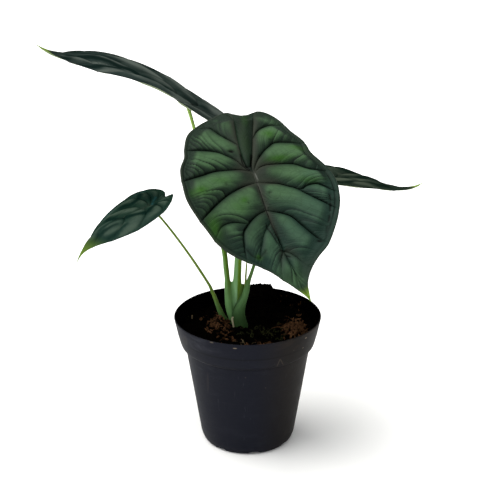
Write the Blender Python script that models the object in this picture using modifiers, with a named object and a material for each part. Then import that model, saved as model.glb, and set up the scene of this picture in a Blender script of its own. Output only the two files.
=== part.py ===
"""A potted alocasia: four quilted, shield-shaped blades on long stalks in a plain 12 cm nursery pot.

Units are metres, +Z is up, and the origin is the centre of the pot's flat underside.
The viewer of the front blade stands towards -Y.
"""

import math

import bmesh
import bpy
import numpy as np
from mathutils import Matrix, Vector

MM = 0.001

# pot
RIM_RADIUS = 60.0
POT_HEIGHT = 110.0
WALL = 1.2
FLOOR = 2.0
POT_STEPS = 56
COLLAR_FOOT = 84.3        # height of the ledge under the collar
BODY_TOP_RADIUS = 51.1
BODY_FOOT_RADIUS = 39.3
BODY_FOOT_HEIGHT = 7.0
STANDING_RADIUS = 34.2
NOTCH_COUNT = 8
NOTCH_WIDTH = 12.0
NOTCH_HEIGHT = 3.0
NOTCH_START = math.radians(-81.5)
NOTCH_MIDDLE = 38.0       # radius about which a notch is cut
NOTCH_DEPTH = 14.0        # how far its cutter reaches through the foot

# soil
SOIL_LEVEL = 97.0
SOIL_BUMP = 1.3
SOIL_STEPS = 40
GAP = 0.3                 # clearance between touching pieces
STEM_DEPTH = 11.0         # how far the stalks go down into the soil
CROWN_HOLE = (-7.4, 2.0, 8.8)
SIDE_HOLE = (-20.2, 1.0, 2.8)

# blades, whose plan is drawn in blade lengths: x across, y towards the lobes, stalk at the origin
BLADE_THICKNESS = 0.9
ROWS = 12                 # rings of cells from the stalk to the margin
BAND_ROW = 11             # ring on the vein that runs along the margin
PILLOW_WIDTH = 0.075      # panel width at which the bulge between two veins nears its full height

# ring on the midrib -> distance from the stalk towards the tip
MIDRIB_NODES = ((0, 0.0), (1, 0.05), (4, 0.195), (5, 0.255), (8, 0.40), (12, 0.654))

FRONT_OUTLINE_RIGHT = (
    (0.012, -0.622), (0.030, -0.577), (0.072, -0.529), (0.123, -0.493), (0.193, -0.451), (0.270, -0.358),
    (0.326, -0.251), (0.352, -0.140), (0.349, -0.043), (0.326, 0.025), (0.286, 0.112), (0.268, 0.195),
    (0.212, 0.278), (0.180, 0.343), (0.120, 0.403), (0.062, 0.416),
)
FRONT_OUTLINE_LEFT = (
    (-0.014, -0.622), (-0.037, -0.587), (-0.070, -0.538), (-0.131, -0.470), (-0.206, -0.423),
    (-0.255, -0.394), (-0.304, -0.341), (-0.339, -0.236), (-0.362, -0.139), (-0.350, -0.051),
    (-0.336, 0.020), (-0.302, 0.084), (-0.290, 0.140), (-0.265, 0.230), (-0.222, 0.298),
    (-0.150, 0.364), (-0.090, 0.412),
)
FRONT_NOTCH = (-0.004, 0.360)
TIP = (0.0, -0.654)

# veins of the front blade from the tip counter-clockwise: name, vein it leaves, ring, points up to the margin
FRONT_VEINS = (
    ("right tip vein", "midrib", 8,
     ((0.030, -0.430), (0.052, -0.480), (0.072, -0.523))),
    ("right lower", "midrib", 4,
     ((0.069, -0.231), (0.101, -0.262), (0.124, -0.314), (0.160, -0.400), (0.190, -0.447))),
    ("right middle", "midrib", 1,
     ((0.056, -0.062), (0.096, -0.071), (0.132, -0.090), (0.167, -0.112), (0.209, -0.161),
      (0.255, -0.220), (0.308, -0.294))),
    ("right fork", "right middle", 6,
     ((0.195, -0.119), (0.217, -0.108), (0.249, -0.105), (0.275, -0.116), (0.336, -0.189))),
    ("right cross", "midrib", 0,
     ((0.046, 0.036), (0.118, 0.044), (0.189, 0.038), (0.255, -0.005), (0.347, -0.035))),
    ("right upper", "midrib", 0,
     ((0.020, 0.050), (0.050, 0.099), (0.095, 0.153), (0.142, 0.185), (0.270, 0.185))),
    ("right lobe vein", "right basal rib", 6,
     ((0.060, 0.262), (0.111, 0.304), (0.190, 0.335))),
    ("right basal rib", "midrib", 0,
     ((-0.004, 0.042), (0.013, 0.112), (0.030, 0.220), (0.041, 0.330), (0.045, 0.405))),
    ("left basal rib", "midrib", 0,
     ((-0.026, 0.036), (-0.036, 0.080), (-0.042, 0.188), (-0.046, 0.300), (-0.052, 0.395))),
    ("left lobe fork", "left basal rib", 10,
     ((-0.070, 0.375), (-0.105, 0.408))),
    ("left lobe vein", "left basal rib", 5,
     ((-0.071, 0.185), (-0.115, 0.226), (-0.166, 0.285), (-0.235, 0.290))),
    ("left upper", "midrib", 0,
     ((-0.040, 0.035), (-0.068, 0.071), (-0.104, 0.098), (-0.162, 0.125), (-0.288, 0.135))),
    ("left cross", "midrib", 0,
     ((-0.028, 0.014), (-0.072, 0.020), (-0.172, 0.014), (-0.249, -0.010), (-0.342, -0.040))),
    ("left middle", "midrib", 1,
     ((-0.068, -0.070), (-0.134, -0.098), (-0.208, -0.141), (-0.325, -0.225))),
    ("left middle fork", "left lower", 7,
     ((-0.177, -0.240), (-0.223, -0.245), (-0.255, -0.260), (-0.282, -0.287), (-0.320, -0.318))),
    ("left lower", "midrib", 4,
     ((-0.058, -0.218), (-0.121, -0.262), (-0.165, -0.310), (-0.200, -0.420))),
    ("left small", "midrib", 5,
     ((-0.050, -0.300), (-0.085, -0.345), (-0.118, -0.395), (-0.140, -0.462))),
    ("left tip vein", "midrib", 8,
     ((-0.035, -0.440), (-0.058, -0.495), (-0.075, -0.533))),
)

# right half of the other blades' outline from tip to notch, and their veins on that side
SIDE_OUTLINE = (
    (0.012, -0.612), (0.030, -0.572), (0.066, -0.522), (0.130, -0.462), (0.205, -0.385), (0.275, -0.285),
    (0.322, -0.175), (0.345, -0.060), (0.343, 0.055), (0.320, 0.165), (0.275, 0.255), (0.215, 0.318),
    (0.150, 0.350), (0.085, 0.352), (0.030, 0.315),
)
SIDE_NOTCH = (0.0, 0.285)
SIDE_VEINS = (
    ("tip vein", "midrib", 8, ((0.035, -0.435), (0.066, -0.522))),
    ("lower", "midrib", 4, ((0.069, -0.231), (0.124, -0.300), (0.170, -0.425))),
    ("middle", "midrib", 1, ((0.090, -0.062), (0.185, -0.120), (0.290, -0.255))),
    ("cross", "midrib", 0, ((0.090, 0.036), (0.200, 0.020), (0.344, -0.040))),
    ("upper", "midrib", 0, ((0.060, 0.090), (0.150, 0.160), (0.310, 0.185))),
    ("lobe vein", "basal rib", 6, ((0.070, 0.220), (0.120, 0.285), (0.190, 0.335))),
    ("basal rib", "midrib", 0, ((0.018, 0.060), (0.032, 0.150), (0.052, 0.240), (0.085, 0.350))),
)

# stalk routes (x, y, z, radius) from the soil up; each ends at its blade
FRONT_STALK = (
    (-7.2, 6.6, 86.0, 3.2), (-7.4, 6.6, 100.0, 3.2), (-7.7, 6.0, 120.0, 3.1), (-7.6, 5.6, 138.0, 3.05),
    (-7.4, 4.0, 156.0, 3.0), (-5.6, -1.5, 180.0, 2.8), (-2.0, -10.5, 207.0, 2.5), (2.0, -21.0, 226.0, 2.2),
)
HIGH_STALK = (
    (-11.3, 1.0, 86.0, 3.4), (-12.0, 1.0, 97.0, 3.4), (-15.2, 1.0, 110.0, 3.1),
    (-16.1, 2.2, 124.0, 2.7), (-16.8, 5.0, 140.0, 2.5), (-19.3, 11.0, 161.0, 2.35),
    (-27.0, 25.5, 192.0, 2.0), (-36.9, 47.5, 224.2, 1.6), (-42.2, 61.5, 241.8, 1.45),
    (-46.8, 72.5, 255.6, 1.4),
)
RIGHT_STALK = (
    (-4.0, -1.8, 86.0, 3.3), (-3.9, -1.8, 100.0, 3.3), (-2.6, -1.2, 118.0, 2.7), (0.2, 0.0, 137.0, 2.0),
    (5.2, 3.0, 151.0, 1.4), (11.6, 7.2, 168.5, 1.3), (20.5, 12.6, 188.0, 1.25), (29.5, 17.5, 204.5, 1.2),
)
LOW_STALK = (
    (-20.2, 1.0, 86.0, 2.3), (-20.3, 1.0, 97.0, 2.3), (-20.8, 1.0, 107.0, 1.8), (-23.6, 1.1, 119.0, 1.35),
    (-30.4, 1.5, 132.0, 1.15), (-44.9, 2.0, 158.0, 1.0), (-58.0, 2.5, 177.5, 0.95), (-69.6, 2.8, 193.0, 0.9),
)
SHOOT = (
    (-7.2, 2.4, 86.0, 0.6), (-7.0, 2.4, 100.0, 0.6), (-5.0, 2.2, 118.0, 0.6), (-3.1, 2.2, 129.0, 0.6),
    (-1.7, 2.5, 139.0, 0.6), (-0.9, 3.0, 153.0, 0.6), (-0.5, 3.2, 160.5, 0.5),
)
STALK_SIDES = 2           # bevel resolution, 8 sides
STALK_POINTS = 18
STALK_OVERRUN = 2.5       # run past the blade before the end is cut flat
CUTTER_SIZE = 16.0        # cube that cuts the end


def unit(vector):
    """Return the vector at length one."""
    vector = np.asarray(vector, float)
    return vector / np.linalg.norm(vector)


def turn(vectors, axes, angles):
    """Turn each vector about its axis by its angle."""
    cosine = np.cos(angles)[..., None]
    sine = np.sin(angles)[..., None]
    along = (axes * vectors).sum(-1, keepdims=True)
    return vectors * cosine + np.cross(axes, vectors) * sine + axes * along * (1 - cosine)


def smooth_path(points, count):
    """Return count points, evenly apart, on a Catmull-Rom curve through the given points."""
    points = np.asarray(points, float)
    ends = np.vstack([2 * points[0] - points[1], points, 2 * points[-1] - points[-2]])
    fine = []
    for index in range(len(points) - 1):
        p0, p1, p2, p3 = ends[index:index + 4]
        for step in np.linspace(0.0, 1.0, 24, endpoint=False):
            fine.append(0.5 * (2 * p1 + (p2 - p0) * step + (2 * p0 - 5 * p1 + 4 * p2 - p3) * step ** 2
                               + (3 * p1 - p0 - 3 * p2 + p3) * step ** 3))
    fine.append(points[-1])
    fine = np.array(fine)
    run = np.concatenate([[0.0], np.cumsum(np.linalg.norm(np.diff(fine[:, :3], axis=0), axis=1))])
    places = np.linspace(0.0, run[-1], count)
    return np.stack([np.interp(places, run, fine[:, k]) for k in range(fine.shape[1])], -1)


def mirrored(points):
    """Return plan points on the other side of the midrib."""
    return tuple((-x, y) for x, y in points)


def ease(value):
    """Go smoothly from 0 to 1."""
    value = np.clip(value, 0.0, 1.0)
    return value * value * (3 - 2 * value)


class Plan:
    """The flat drawing of a blade: its closed outline and the veins that divide it into panels.

    The pillow is the highest bulge between two veins, and the wave the margin's lift between them.
    """

    def __init__(self, right, notch, left, veins, pillow, wave):
        self.pillow = pillow
        self.wave = wave
        loop = [TIP, *right, notch, *reversed(left), TIP]
        self.margin = smooth_path(loop, 900)
        self.run = np.linspace(0.0, 1.0, len(self.margin))
        rows = [row for row, _ in MIDRIB_NODES]
        reach = np.interp(range(ROWS + 1), rows, [-y for _, y in MIDRIB_NODES])
        midrib = np.stack([np.zeros(ROWS + 1), reach], -1)
        self.lines = {"midrib": midrib}
        self.ends = {}
        waiting = list(veins)
        while waiting:
            vein = waiting.pop(0)
            if vein[1] in self.lines:
                self.add_vein(*vein)
            else:
                waiting.append(vein)
        self.order = [name for name, _, _, _ in veins]

    def add_vein(self, name, parent, row, points):
        """Run a vein along its parent up to the ring, then through its own points to the margin."""
        near = np.linalg.norm(self.margin - np.array(points[-1]), axis=1).argmin()
        self.ends[name] = self.run[near]
        start = self.lines[parent][row]
        own = smooth_path([start, *points[:-1], self.margin[near]], ROWS - row + 1)
        self.lines[name] = np.vstack([self.lines[parent][:row], own])

    def panels(self):
        """Yield each panel: its two veins and where they meet the margin."""
        names = ["midrib", *self.order, "midrib"]
        ends = [0.0, *(self.ends[name] for name in self.order), 1.0]
        for index in range(len(names) - 1):
            yield self.lines[names[index]], self.lines[names[index + 1]], ends[index], ends[index + 1]

    def grid(self, columns):
        """Return the plan points and relief heights of every panel, as arrays of rings by columns."""
        ring = np.arange(ROWS + 1) / ROWS
        across = np.linspace(0.0, 1.0, columns + 1)
        band = BAND_ROW / ROWS
        for first, second, start, end in self.panels():
            flat = first[:, None] * (1 - across[:, None]) + second[:, None] * across[:, None]
            places = start + (end - start) * across
            edge = np.stack([np.interp(places, self.run, self.margin[:, k]) for k in range(2)], -1)
            width = np.linalg.norm(second - first, axis=1)
            parting = ring[np.flatnonzero(width < 1e-6).max()]
            outward = np.clip((ring - parting) / (1 - parting), 0.0, 1.0)
            flat = flat + (outward ** 2.5)[:, None, None] * (edge - flat[-1])
            swell = self.pillow * (1 - np.exp(-width / PILLOW_WIDTH))
            inner = ease(ring / 0.25) * (1 - 0.9 * ease((ring - 0.8) / (band - 0.8)))
            pillow = (4 * across * (1 - across)) ** 0.6
            relief = (swell * inner)[:, None] * pillow
            relief = relief + self.wave * (ring ** 4 * np.minimum(width / 0.15, 1.0))[:, None] * pillow
            yield flat, relief


class Blade:
    """A blade's pose and bend; angles in degrees, bends in degrees per blade length."""

    def __init__(self, plan, stalk_end, heading, rise, roll, length, width=1.0, lobe=1.0, belly=0.0,
                 pitch=(0, 0, 0), sway=(0, 0), twist=(0, 0), fold=(0, 0), droop=0.0):
        self.plan = plan
        self.origin = np.array(stalk_end, float)
        self.length = length
        self.width = width
        self.lobe = lobe
        self.belly = belly
        heading = math.radians(heading)
        rise = math.radians(rise)
        level = np.array([math.cos(heading), math.sin(heading), 0.0])
        forward = level * math.cos(rise) + np.array([0.0, 0.0, math.sin(rise)])
        side = np.array([-math.sin(heading), math.cos(heading), 0.0])
        up = turn(np.cross(forward, side), forward, np.array(math.radians(roll)))
        self.up = up
        self.fold = np.radians(fold)
        self.droop = math.radians(droop)
        # frames along the midrib, integrated in small steps from the lobes to the tip
        self.station = np.linspace(-0.6, 0.75, 271)
        powers = [self.station ** k for k in (1, 2, 3)]
        bend = sum(math.radians(k) * p for k, p in zip(pitch, powers))
        swing = sum(math.radians(k) * p for k, p in zip(sway, powers))
        roll_on = sum(math.radians(k) * p for k, p in zip(twist, powers))
        ones = np.ones((len(self.station), 1))
        forward, up = ones * forward, ones * up
        across = np.cross(up, forward)
        across = turn(across, up, swing)
        forward = turn(forward, up, swing)
        forward, up = turn(forward, across, -bend), turn(up, across, -bend)
        up = turn(up, forward, roll_on)
        across = np.cross(up, forward)
        step = self.station[1] - self.station[0]
        spine = np.vstack([np.zeros(3), np.cumsum((forward[1:] + forward[:-1]) / 2 * step, 0)])
        spine = spine - spine[np.abs(self.station).argmin()]
        self.frames = [spine, up, across]

    def place(self, flat, relief):
        """Bend plan points with their relief into the blade's real place, in millimetres."""
        side = flat[..., 0] * self.width * (1 + self.belly * flat[..., 1])
        station = -flat[..., 1] * np.where(flat[..., 1] > 0, self.lobe, 1.0)
        spine, up, across = (
            np.stack([np.interp(station, self.station, frame[:, k]) for k in range(3)], -1)
            for frame in self.frames)
        up = up / np.linalg.norm(up, axis=-1, keepdims=True)
        fold = self.fold[0] + self.fold[1] * station
        curl = self.droop if abs(self.droop) > 1e-6 else 1e-6
        angle = fold + curl * np.abs(side)
        out = (np.sin(angle) - np.sin(fold)) / curl * np.sign(side)
        lift = (np.cos(fold) - np.cos(angle)) / curl
        tilt = np.sign(side) * angle
        normal = up * np.cos(tilt)[..., None] - across * np.sin(tilt)[..., None]
        bent = spine + out[..., None] * across + lift[..., None] * up + relief[..., None] * normal
        return self.origin + bent * self.length


def make_material(name, colour, roughness, metallic=0.0):
    """Return a Principled material."""
    material = bpy.data.materials.new(name)
    material.use_nodes = True
    shader = material.node_tree.nodes["Principled BSDF"]
    shader.inputs["Base Color"].default_value = (*colour, 1.0)
    shader.inputs["Roughness"].default_value = roughness
    shader.inputs["Metallic"].default_value = metallic
    material.diffuse_color = (*colour, 1.0)
    return material


def add_object(name, mesh, material, collection):
    """Put a mesh into the collection as a named object with its own material."""
    item = bpy.data.objects.new(name, mesh)
    collection.objects.link(item)
    if material is not None:
        mesh.materials.clear()
        mesh.materials.append(material)
    return item


def finished_mesh(item):
    """Return the evaluated mesh of an object with its close points merged, and remove the object."""
    graph = bpy.context.evaluated_depsgraph_get()
    mesh = bpy.data.meshes.new_from_object(item.evaluated_get(graph))
    matrix = item.matrix_world.copy()
    bpy.data.objects.remove(item)
    mesh.transform(matrix)
    shell = bmesh.new()
    shell.from_mesh(mesh)
    bmesh.ops.remove_doubles(shell, verts=shell.verts, dist=0.00001)
    bmesh.ops.recalc_face_normals(shell, faces=shell.faces)
    shell.to_mesh(mesh)
    shell.free()
    return mesh


def turned(name, profile, steps, material, collection):
    """Turn a profile of (radius, height) points about Z with a Screw modifier."""
    mesh = bpy.data.meshes.new(name)
    points = [(radius * MM, 0.0, height * MM) for radius, height in profile]
    mesh.from_pydata(points, [(k, k + 1) for k in range(len(points) - 1)], [])
    item = add_object(name, mesh, material, collection)
    screw = item.modifiers.new("turn", "SCREW")
    screw.steps = steps
    screw.render_steps = steps
    screw.use_merge_vertices = True
    screw.merge_threshold = 0.00001
    return item


def cut(item, cutter):
    """Take the cutter out of the item."""
    boolean = item.modifiers.new("cut", "BOOLEAN")
    boolean.operation = "DIFFERENCE"
    boolean.solver = "EXACT"
    boolean.object = cutter
    cutter.hide_render = True
    cutter.display_type = "WIRE"


def move_to_cutters(item, cutters):
    """Keep a guide object in the cutters' collection alone."""
    for collection in item.users_collection:
        collection.objects.unlink(item)
    cutters.objects.link(item)


def make_pot(collection, cutters):
    """Build the nursery pot: tapered body, stepped collar and notched foot."""
    plastic = make_material("black_plastic", (0.018, 0.021, 0.026), 0.5)
    # (radius, height) from the middle of the floor up the inside, then down the outside
    inside = [
        (0.0, FLOOR), (BODY_FOOT_RADIUS - WALL - 2.0, FLOOR),
        (BODY_FOOT_RADIUS - WALL + 0.1, BODY_FOOT_HEIGHT + 0.8),
        (BODY_TOP_RADIUS - WALL, COLLAR_FOOT + 0.9),
        (53.2, 88.4), (54.5, 91.0), (56.0, 96.4), (58.5, 108.6), (58.9, POT_HEIGHT - 0.3), (59.3, POT_HEIGHT),
    ]
    outside = [
        (59.8, POT_HEIGHT), (RIM_RADIUS, POT_HEIGHT - 0.5),
        (57.2, 96.0), (56.9, 95.2), (55.6, 90.0), (54.7, 87.2),
        (BODY_TOP_RADIUS + 0.6, COLLAR_FOOT - 0.1), (BODY_TOP_RADIUS, COLLAR_FOOT - 0.6),
        (BODY_FOOT_RADIUS, BODY_FOOT_HEIGHT), (37.8, 2.6), (36.2, 0.7), (STANDING_RADIUS, 0.0), (0.0, 0.0),
    ]
    pot = turned("pot", inside + outside, POT_STEPS, plastic, collection)
    notch_radius = (NOTCH_WIDTH ** 2 / 4 + NOTCH_HEIGHT ** 2) / (2 * NOTCH_HEIGHT)
    for index in range(NOTCH_COUNT):
        angle = NOTCH_START + index * math.tau / NOTCH_COUNT
        bpy.ops.mesh.primitive_cylinder_add(vertices=32, radius=notch_radius * MM, depth=NOTCH_DEPTH * MM)
        cutter = bpy.context.active_object
        cutter.name = f"notch_cutter_{index + 1}"
        place = Vector((math.cos(angle), math.sin(angle), 0)) * NOTCH_MIDDLE * MM
        place.z = (NOTCH_HEIGHT - notch_radius) * MM
        cutter.matrix_world = (Matrix.Translation(place) @ Matrix.Rotation(angle, 4, "Z")
                               @ Matrix.Rotation(math.radians(90), 4, "Y"))
        move_to_cutters(cutter, cutters)
        cut(pot, cutter)


def soil_height(x, y):
    """Return the lumpy soil surface's height above its level at a place in millimetres."""
    waves = ((0.21, 0.9, 1.0, 0.0), (0.34, 2.3, 0.7, 1.7), (0.47, 4.1, 0.6, 3.9), (0.62, 5.5, 0.5, 0.6))
    total = sum(size * math.sin(rate * (x * math.cos(way) + y * math.sin(way)) + start)
                for rate, way, size, start in waves)
    return SOIL_BUMP * total / 2


def make_soil(collection, cutters):
    """Build the soil that fills the pot, with a lumpy top and plain holes for the stalks."""
    peat = make_material("dark_peat", (0.012, 0.009, 0.007), 0.95)
    wall = WALL + GAP
    side = [
        (54.6, SOIL_LEVEL - 1.6), (53.7, 91.2), (52.6, 88.6), (BODY_TOP_RADIUS - wall, COLLAR_FOOT + 0.6),
        (BODY_FOOT_RADIUS - wall, BODY_FOOT_HEIGHT + 1.0), (BODY_FOOT_RADIUS - wall - 2.3, FLOOR + GAP),
        (0.0, FLOOR + GAP),
    ]
    top = [(radius, SOIL_LEVEL) for radius in (0.0, 8.0, 16.0, 24.0, 32.0, 40.0, 48.0)]
    soil = turned("soil", top + side, SOIL_STEPS, peat, collection)
    mesh = finished_mesh(soil)
    for vertex in mesh.vertices:
        if vertex.co.z > (SOIL_LEVEL - 0.5) * MM:
            vertex.co.z += soil_height(vertex.co.x / MM, vertex.co.y / MM) * MM
    soil = add_object("soil", mesh, peat, collection)
    floor = SOIL_LEVEL - STEM_DEPTH - GAP
    for name, (x, y, radius) in (("crown_hole_cutter", CROWN_HOLE), ("side_hole_cutter", SIDE_HOLE)):
        bpy.ops.mesh.primitive_cylinder_add(vertices=32, radius=radius * MM, depth=30 * MM,
                                            location=(x * MM, y * MM, (floor + 15) * MM))
        cutter = bpy.context.active_object
        cutter.name = name
        move_to_cutters(cutter, cutters)
        cut(soil, cutter)


def make_stalk(name, route, material, collection, cutters, blade=None):
    """Build a tapering stalk along its route; one that carries a blade ends flat under it."""
    route = list(route)
    if blade is not None:
        beyond = blade.origin + STALK_OVERRUN * unit(blade.origin - route[-1][:3])
        route.append((*beyond, route[-1][3]))
    path = smooth_path(route, STALK_POINTS)
    curve = bpy.data.curves.new(name, "CURVE")
    curve.dimensions = "3D"
    curve.bevel_depth = MM
    curve.bevel_resolution = STALK_SIDES
    curve.use_fill_caps = True
    spline = curve.splines.new("POLY")
    spline.points.add(len(path) - 1)
    for point, (x, y, z, radius) in zip(spline.points, path):
        point.co = (x * MM, y * MM, z * MM, 1.0)
        point.radius = radius
    guide = bpy.data.objects.new(name + "_guide", curve)
    collection.objects.link(guide)
    stalk = add_object(name, finished_mesh(guide), material, collection)
    stalk.data.shade_smooth()
    if blade is not None:
        size = CUTTER_SIZE
        bpy.ops.mesh.primitive_cube_add(size=size * MM)
        cutter = bpy.context.active_object
        cutter.name = name + "_cutter"
        up = Vector(blade.up)
        middle = Vector(blade.origin) + up * (size / 2 - BLADE_THICKNESS - GAP)
        pointing = up.to_track_quat("Z", "Y").to_matrix().to_4x4()
        cutter.matrix_world = Matrix.Translation(middle * MM) @ pointing
        move_to_cutters(cutter, cutters)
        cut(stalk, cutter)
    return stalk


def make_blade(name, blade, columns, material, collection):
    """Build a blade's upper face panel by panel, in triangles, and give it its thickness."""
    points = []
    faces = []
    for flat, relief in blade.plan.grid(columns):
        start = len(points)
        points.extend((blade.place(flat, relief) * MM).reshape(-1, 3).tolist())
        for row in range(ROWS):
            for column in range(columns):
                corner = start + row * (columns + 1) + column
                above = corner + columns + 1
                faces.append((corner, above, above + 1, corner + 1))
    mesh = bpy.data.meshes.new(name)
    mesh.from_pydata(points, [], faces)
    sheet = bmesh.new()
    sheet.from_mesh(mesh)
    bmesh.ops.remove_doubles(sheet, verts=sheet.verts, dist=0.00002)
    bmesh.ops.dissolve_degenerate(sheet, edges=sheet.edges, dist=0.00001)
    bmesh.ops.triangulate(sheet, faces=sheet.faces)
    sheet.to_mesh(mesh)
    sheet.free()
    mesh.shade_smooth()
    item = add_object(name, mesh, material, collection)
    wall = item.modifiers.new("thickness", "SOLIDIFY")
    wall.thickness = BLADE_THICKNESS * MM
    wall.offset = -1.0
    return item


def main():
    """Clear the scene and build the plant and its pot."""
    for item in list(bpy.data.objects):
        bpy.data.objects.remove(item)
    collection = bpy.data.collections.new("potted_alocasia")
    cutters = bpy.data.collections.new("cutters")
    bpy.context.scene.collection.children.link(collection)
    bpy.context.scene.collection.children.link(cutters)

    make_pot(collection, cutters)
    make_soil(collection, cutters)

    front_plan = Plan(FRONT_OUTLINE_RIGHT, FRONT_NOTCH, FRONT_OUTLINE_LEFT, FRONT_VEINS, 0.024, 0.004)
    right = tuple(("right " + name, parent if parent == "midrib" else "right " + parent, row, points)
                  for name, parent, row, points in SIDE_VEINS)
    left = tuple(("left " + name, parent if parent == "midrib" else "left " + parent, row, mirrored(points))
                 for name, parent, row, points in reversed(SIDE_VEINS))
    side_plan = Plan(SIDE_OUTLINE, SIDE_NOTCH, mirrored(SIDE_OUTLINE), right + left, 0.015, 0.002)

    front = Blade(front_plan, (5, -31, 240), -74, -38, -3, 172, pitch=(-28, 43, -8), sway=(36, -12),
                  twist=(-14, 41), fold=(0, 31), droop=22)
    high = Blade(side_plan, (-50.6, 82.1, 266.9), 172.2, 33, 10.9, 207.5, 0.81, belly=-0.74,
                 pitch=(-5.5, -342, 572), sway=(50.4, -4.6), twist=(6.2, -10.4), fold=(3.6, 0.4))
    right_blade = Blade(side_plan, (37.3, 21.4, 216.6), 10.2, 8.4, -13, 179.5, 0.72, belly=-0.08,
                        pitch=(-21.9, -362.5, 672.3), sway=(26.1, 14), twist=(64.9, -92.8), fold=(4.9, -6.5),
                        droop=-9.1)
    low = Blade(side_plan, (-78.3, 2.8, 202.6), 209, -16, 10, 117.6, 1.02, 0.45, -0.69,
                pitch=(37, -148, -43), sway=(14.5, -7), twist=(2.4, 28.7), fold=(5, -43), droop=-3)

    leaf_green = make_material("grey_green_leaf", (0.045, 0.085, 0.058), 0.38)
    stalk_green = make_material("pale_green_stalk", (0.22, 0.33, 0.14), 0.42)
    olive = make_material("olive_stalk", (0.20, 0.27, 0.06), 0.45)
    yellow_green = make_material("new_shoot", (0.42, 0.48, 0.14), 0.5)

    make_blade("blade_front", front, 4, leaf_green, collection)
    make_blade("blade_high_left", high, 3, leaf_green, collection)
    make_blade("blade_right", right_blade, 3, leaf_green, collection)
    make_blade("blade_low_left", low, 2, leaf_green, collection)
    make_stalk("petiole_front", FRONT_STALK, stalk_green, collection, cutters, front)
    make_stalk("petiole_high_left", HIGH_STALK, stalk_green, collection, cutters, high)
    make_stalk("petiole_right", RIGHT_STALK, stalk_green, collection, cutters, right_blade)
    make_stalk("petiole_low_left", LOW_STALK, olive, collection, cutters, low)
    make_stalk("new_shoot", SHOOT, yellow_green, collection, cutters)


main()
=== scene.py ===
"""A potted alocasia, dressed for a studio photograph.

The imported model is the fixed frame.  Every piece here stands for one of its nodes and keeps to its place:
finely quilted blades, sheathed stalks, a moulded nursery pot, and peat with coir, moss and fibres in it.
Lengths in the tables are millimetres, and everything that reaches Blender is in metres.
"""

from __future__ import annotations

import logging
import math
from collections.abc import Iterator, Sequence
from dataclasses import dataclass, field, replace
from enum import Enum
from functools import partialmethod
from itertools import product

import bmesh
import bpy
import numpy as np
from bpy.types import Material, Mesh, NodeSocket, NodeTree, Object, Scene
from mathutils import Matrix, Vector

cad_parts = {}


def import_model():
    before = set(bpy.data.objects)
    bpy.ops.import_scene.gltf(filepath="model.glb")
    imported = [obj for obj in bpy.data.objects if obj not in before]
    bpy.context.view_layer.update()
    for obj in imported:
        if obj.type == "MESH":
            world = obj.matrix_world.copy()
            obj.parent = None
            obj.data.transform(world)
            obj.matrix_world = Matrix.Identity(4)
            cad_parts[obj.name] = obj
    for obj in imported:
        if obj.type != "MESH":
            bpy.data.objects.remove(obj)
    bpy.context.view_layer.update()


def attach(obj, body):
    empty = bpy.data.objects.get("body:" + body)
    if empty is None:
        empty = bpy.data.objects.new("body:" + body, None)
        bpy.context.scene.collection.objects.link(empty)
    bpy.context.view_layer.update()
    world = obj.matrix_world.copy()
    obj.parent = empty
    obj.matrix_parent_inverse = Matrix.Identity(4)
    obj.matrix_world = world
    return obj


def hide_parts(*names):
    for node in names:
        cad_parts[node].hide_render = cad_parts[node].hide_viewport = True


LOG = logging.getLogger("potted_alocasia")
MM = 0.001
# steps between two points of a smooth path
CURVE_STEPS = 24
# primes that stir a cell's place and the seed into one number, and the one that mixes its bits
CELL_PRIMES, SEED_PRIME, MIXER = (73856093, 19349663, 50331653), 83492791, 1274126177

Colour = tuple[float, float, float]
Point = tuple[float, float]
Array = np.ndarray

# the blades' plan is drawn in blade lengths: x across, y towards the lobes, stalk at the origin
# rings run round the stalk's end, and a fine ring is an eighth of one in the tables of veins
CAD_ROWS = 12
FINE = 8
ROWS = CAD_ROWS * FINE
# how wide a panel is when its bulge has nearly its full height
PILLOW_WIDTH = 0.075
# two veins closer than this run as one
SHUT = 1e-6
# where a blade's spine is worked out: from past the lobes to past the tip, in blade lengths
SPINE_SPAN, SPINE_STEPS = (-0.6, 0.75), 271
# ring and distance from the stalk's end along the midrib
MIDRIB_NODES = ((0, 0), (1, 0.05), (4, 0.195), (5, 0.255), (8, 0.4), (12, 0.654))
TIP = (0, -0.654)

FRONT_OUTLINE_RIGHT = (
    (0.012, -0.622), (0.03, -0.577), (0.072, -0.529), (0.123, -0.493), (0.193, -0.451), (0.27, -0.358),
    (0.326, -0.251), (0.352, -0.14), (0.349, -0.043), (0.326, 0.025), (0.286, 0.112), (0.268, 0.195),
    (0.212, 0.278), (0.18, 0.343), (0.12, 0.403), (0.062, 0.416),
)
FRONT_OUTLINE_LEFT = (
    (-0.014, -0.622), (-0.037, -0.587), (-0.07, -0.538), (-0.131, -0.47), (-0.206, -0.423),
    (-0.255, -0.394), (-0.304, -0.341), (-0.339, -0.236), (-0.362, -0.139), (-0.35, -0.051), (-0.336, 0.02),
    (-0.302, 0.084), (-0.29, 0.14), (-0.265, 0.23), (-0.222, 0.298), (-0.15, 0.364), (-0.09, 0.412),
)
FRONT_NOTCH = (-0.004, 0.36)

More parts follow.
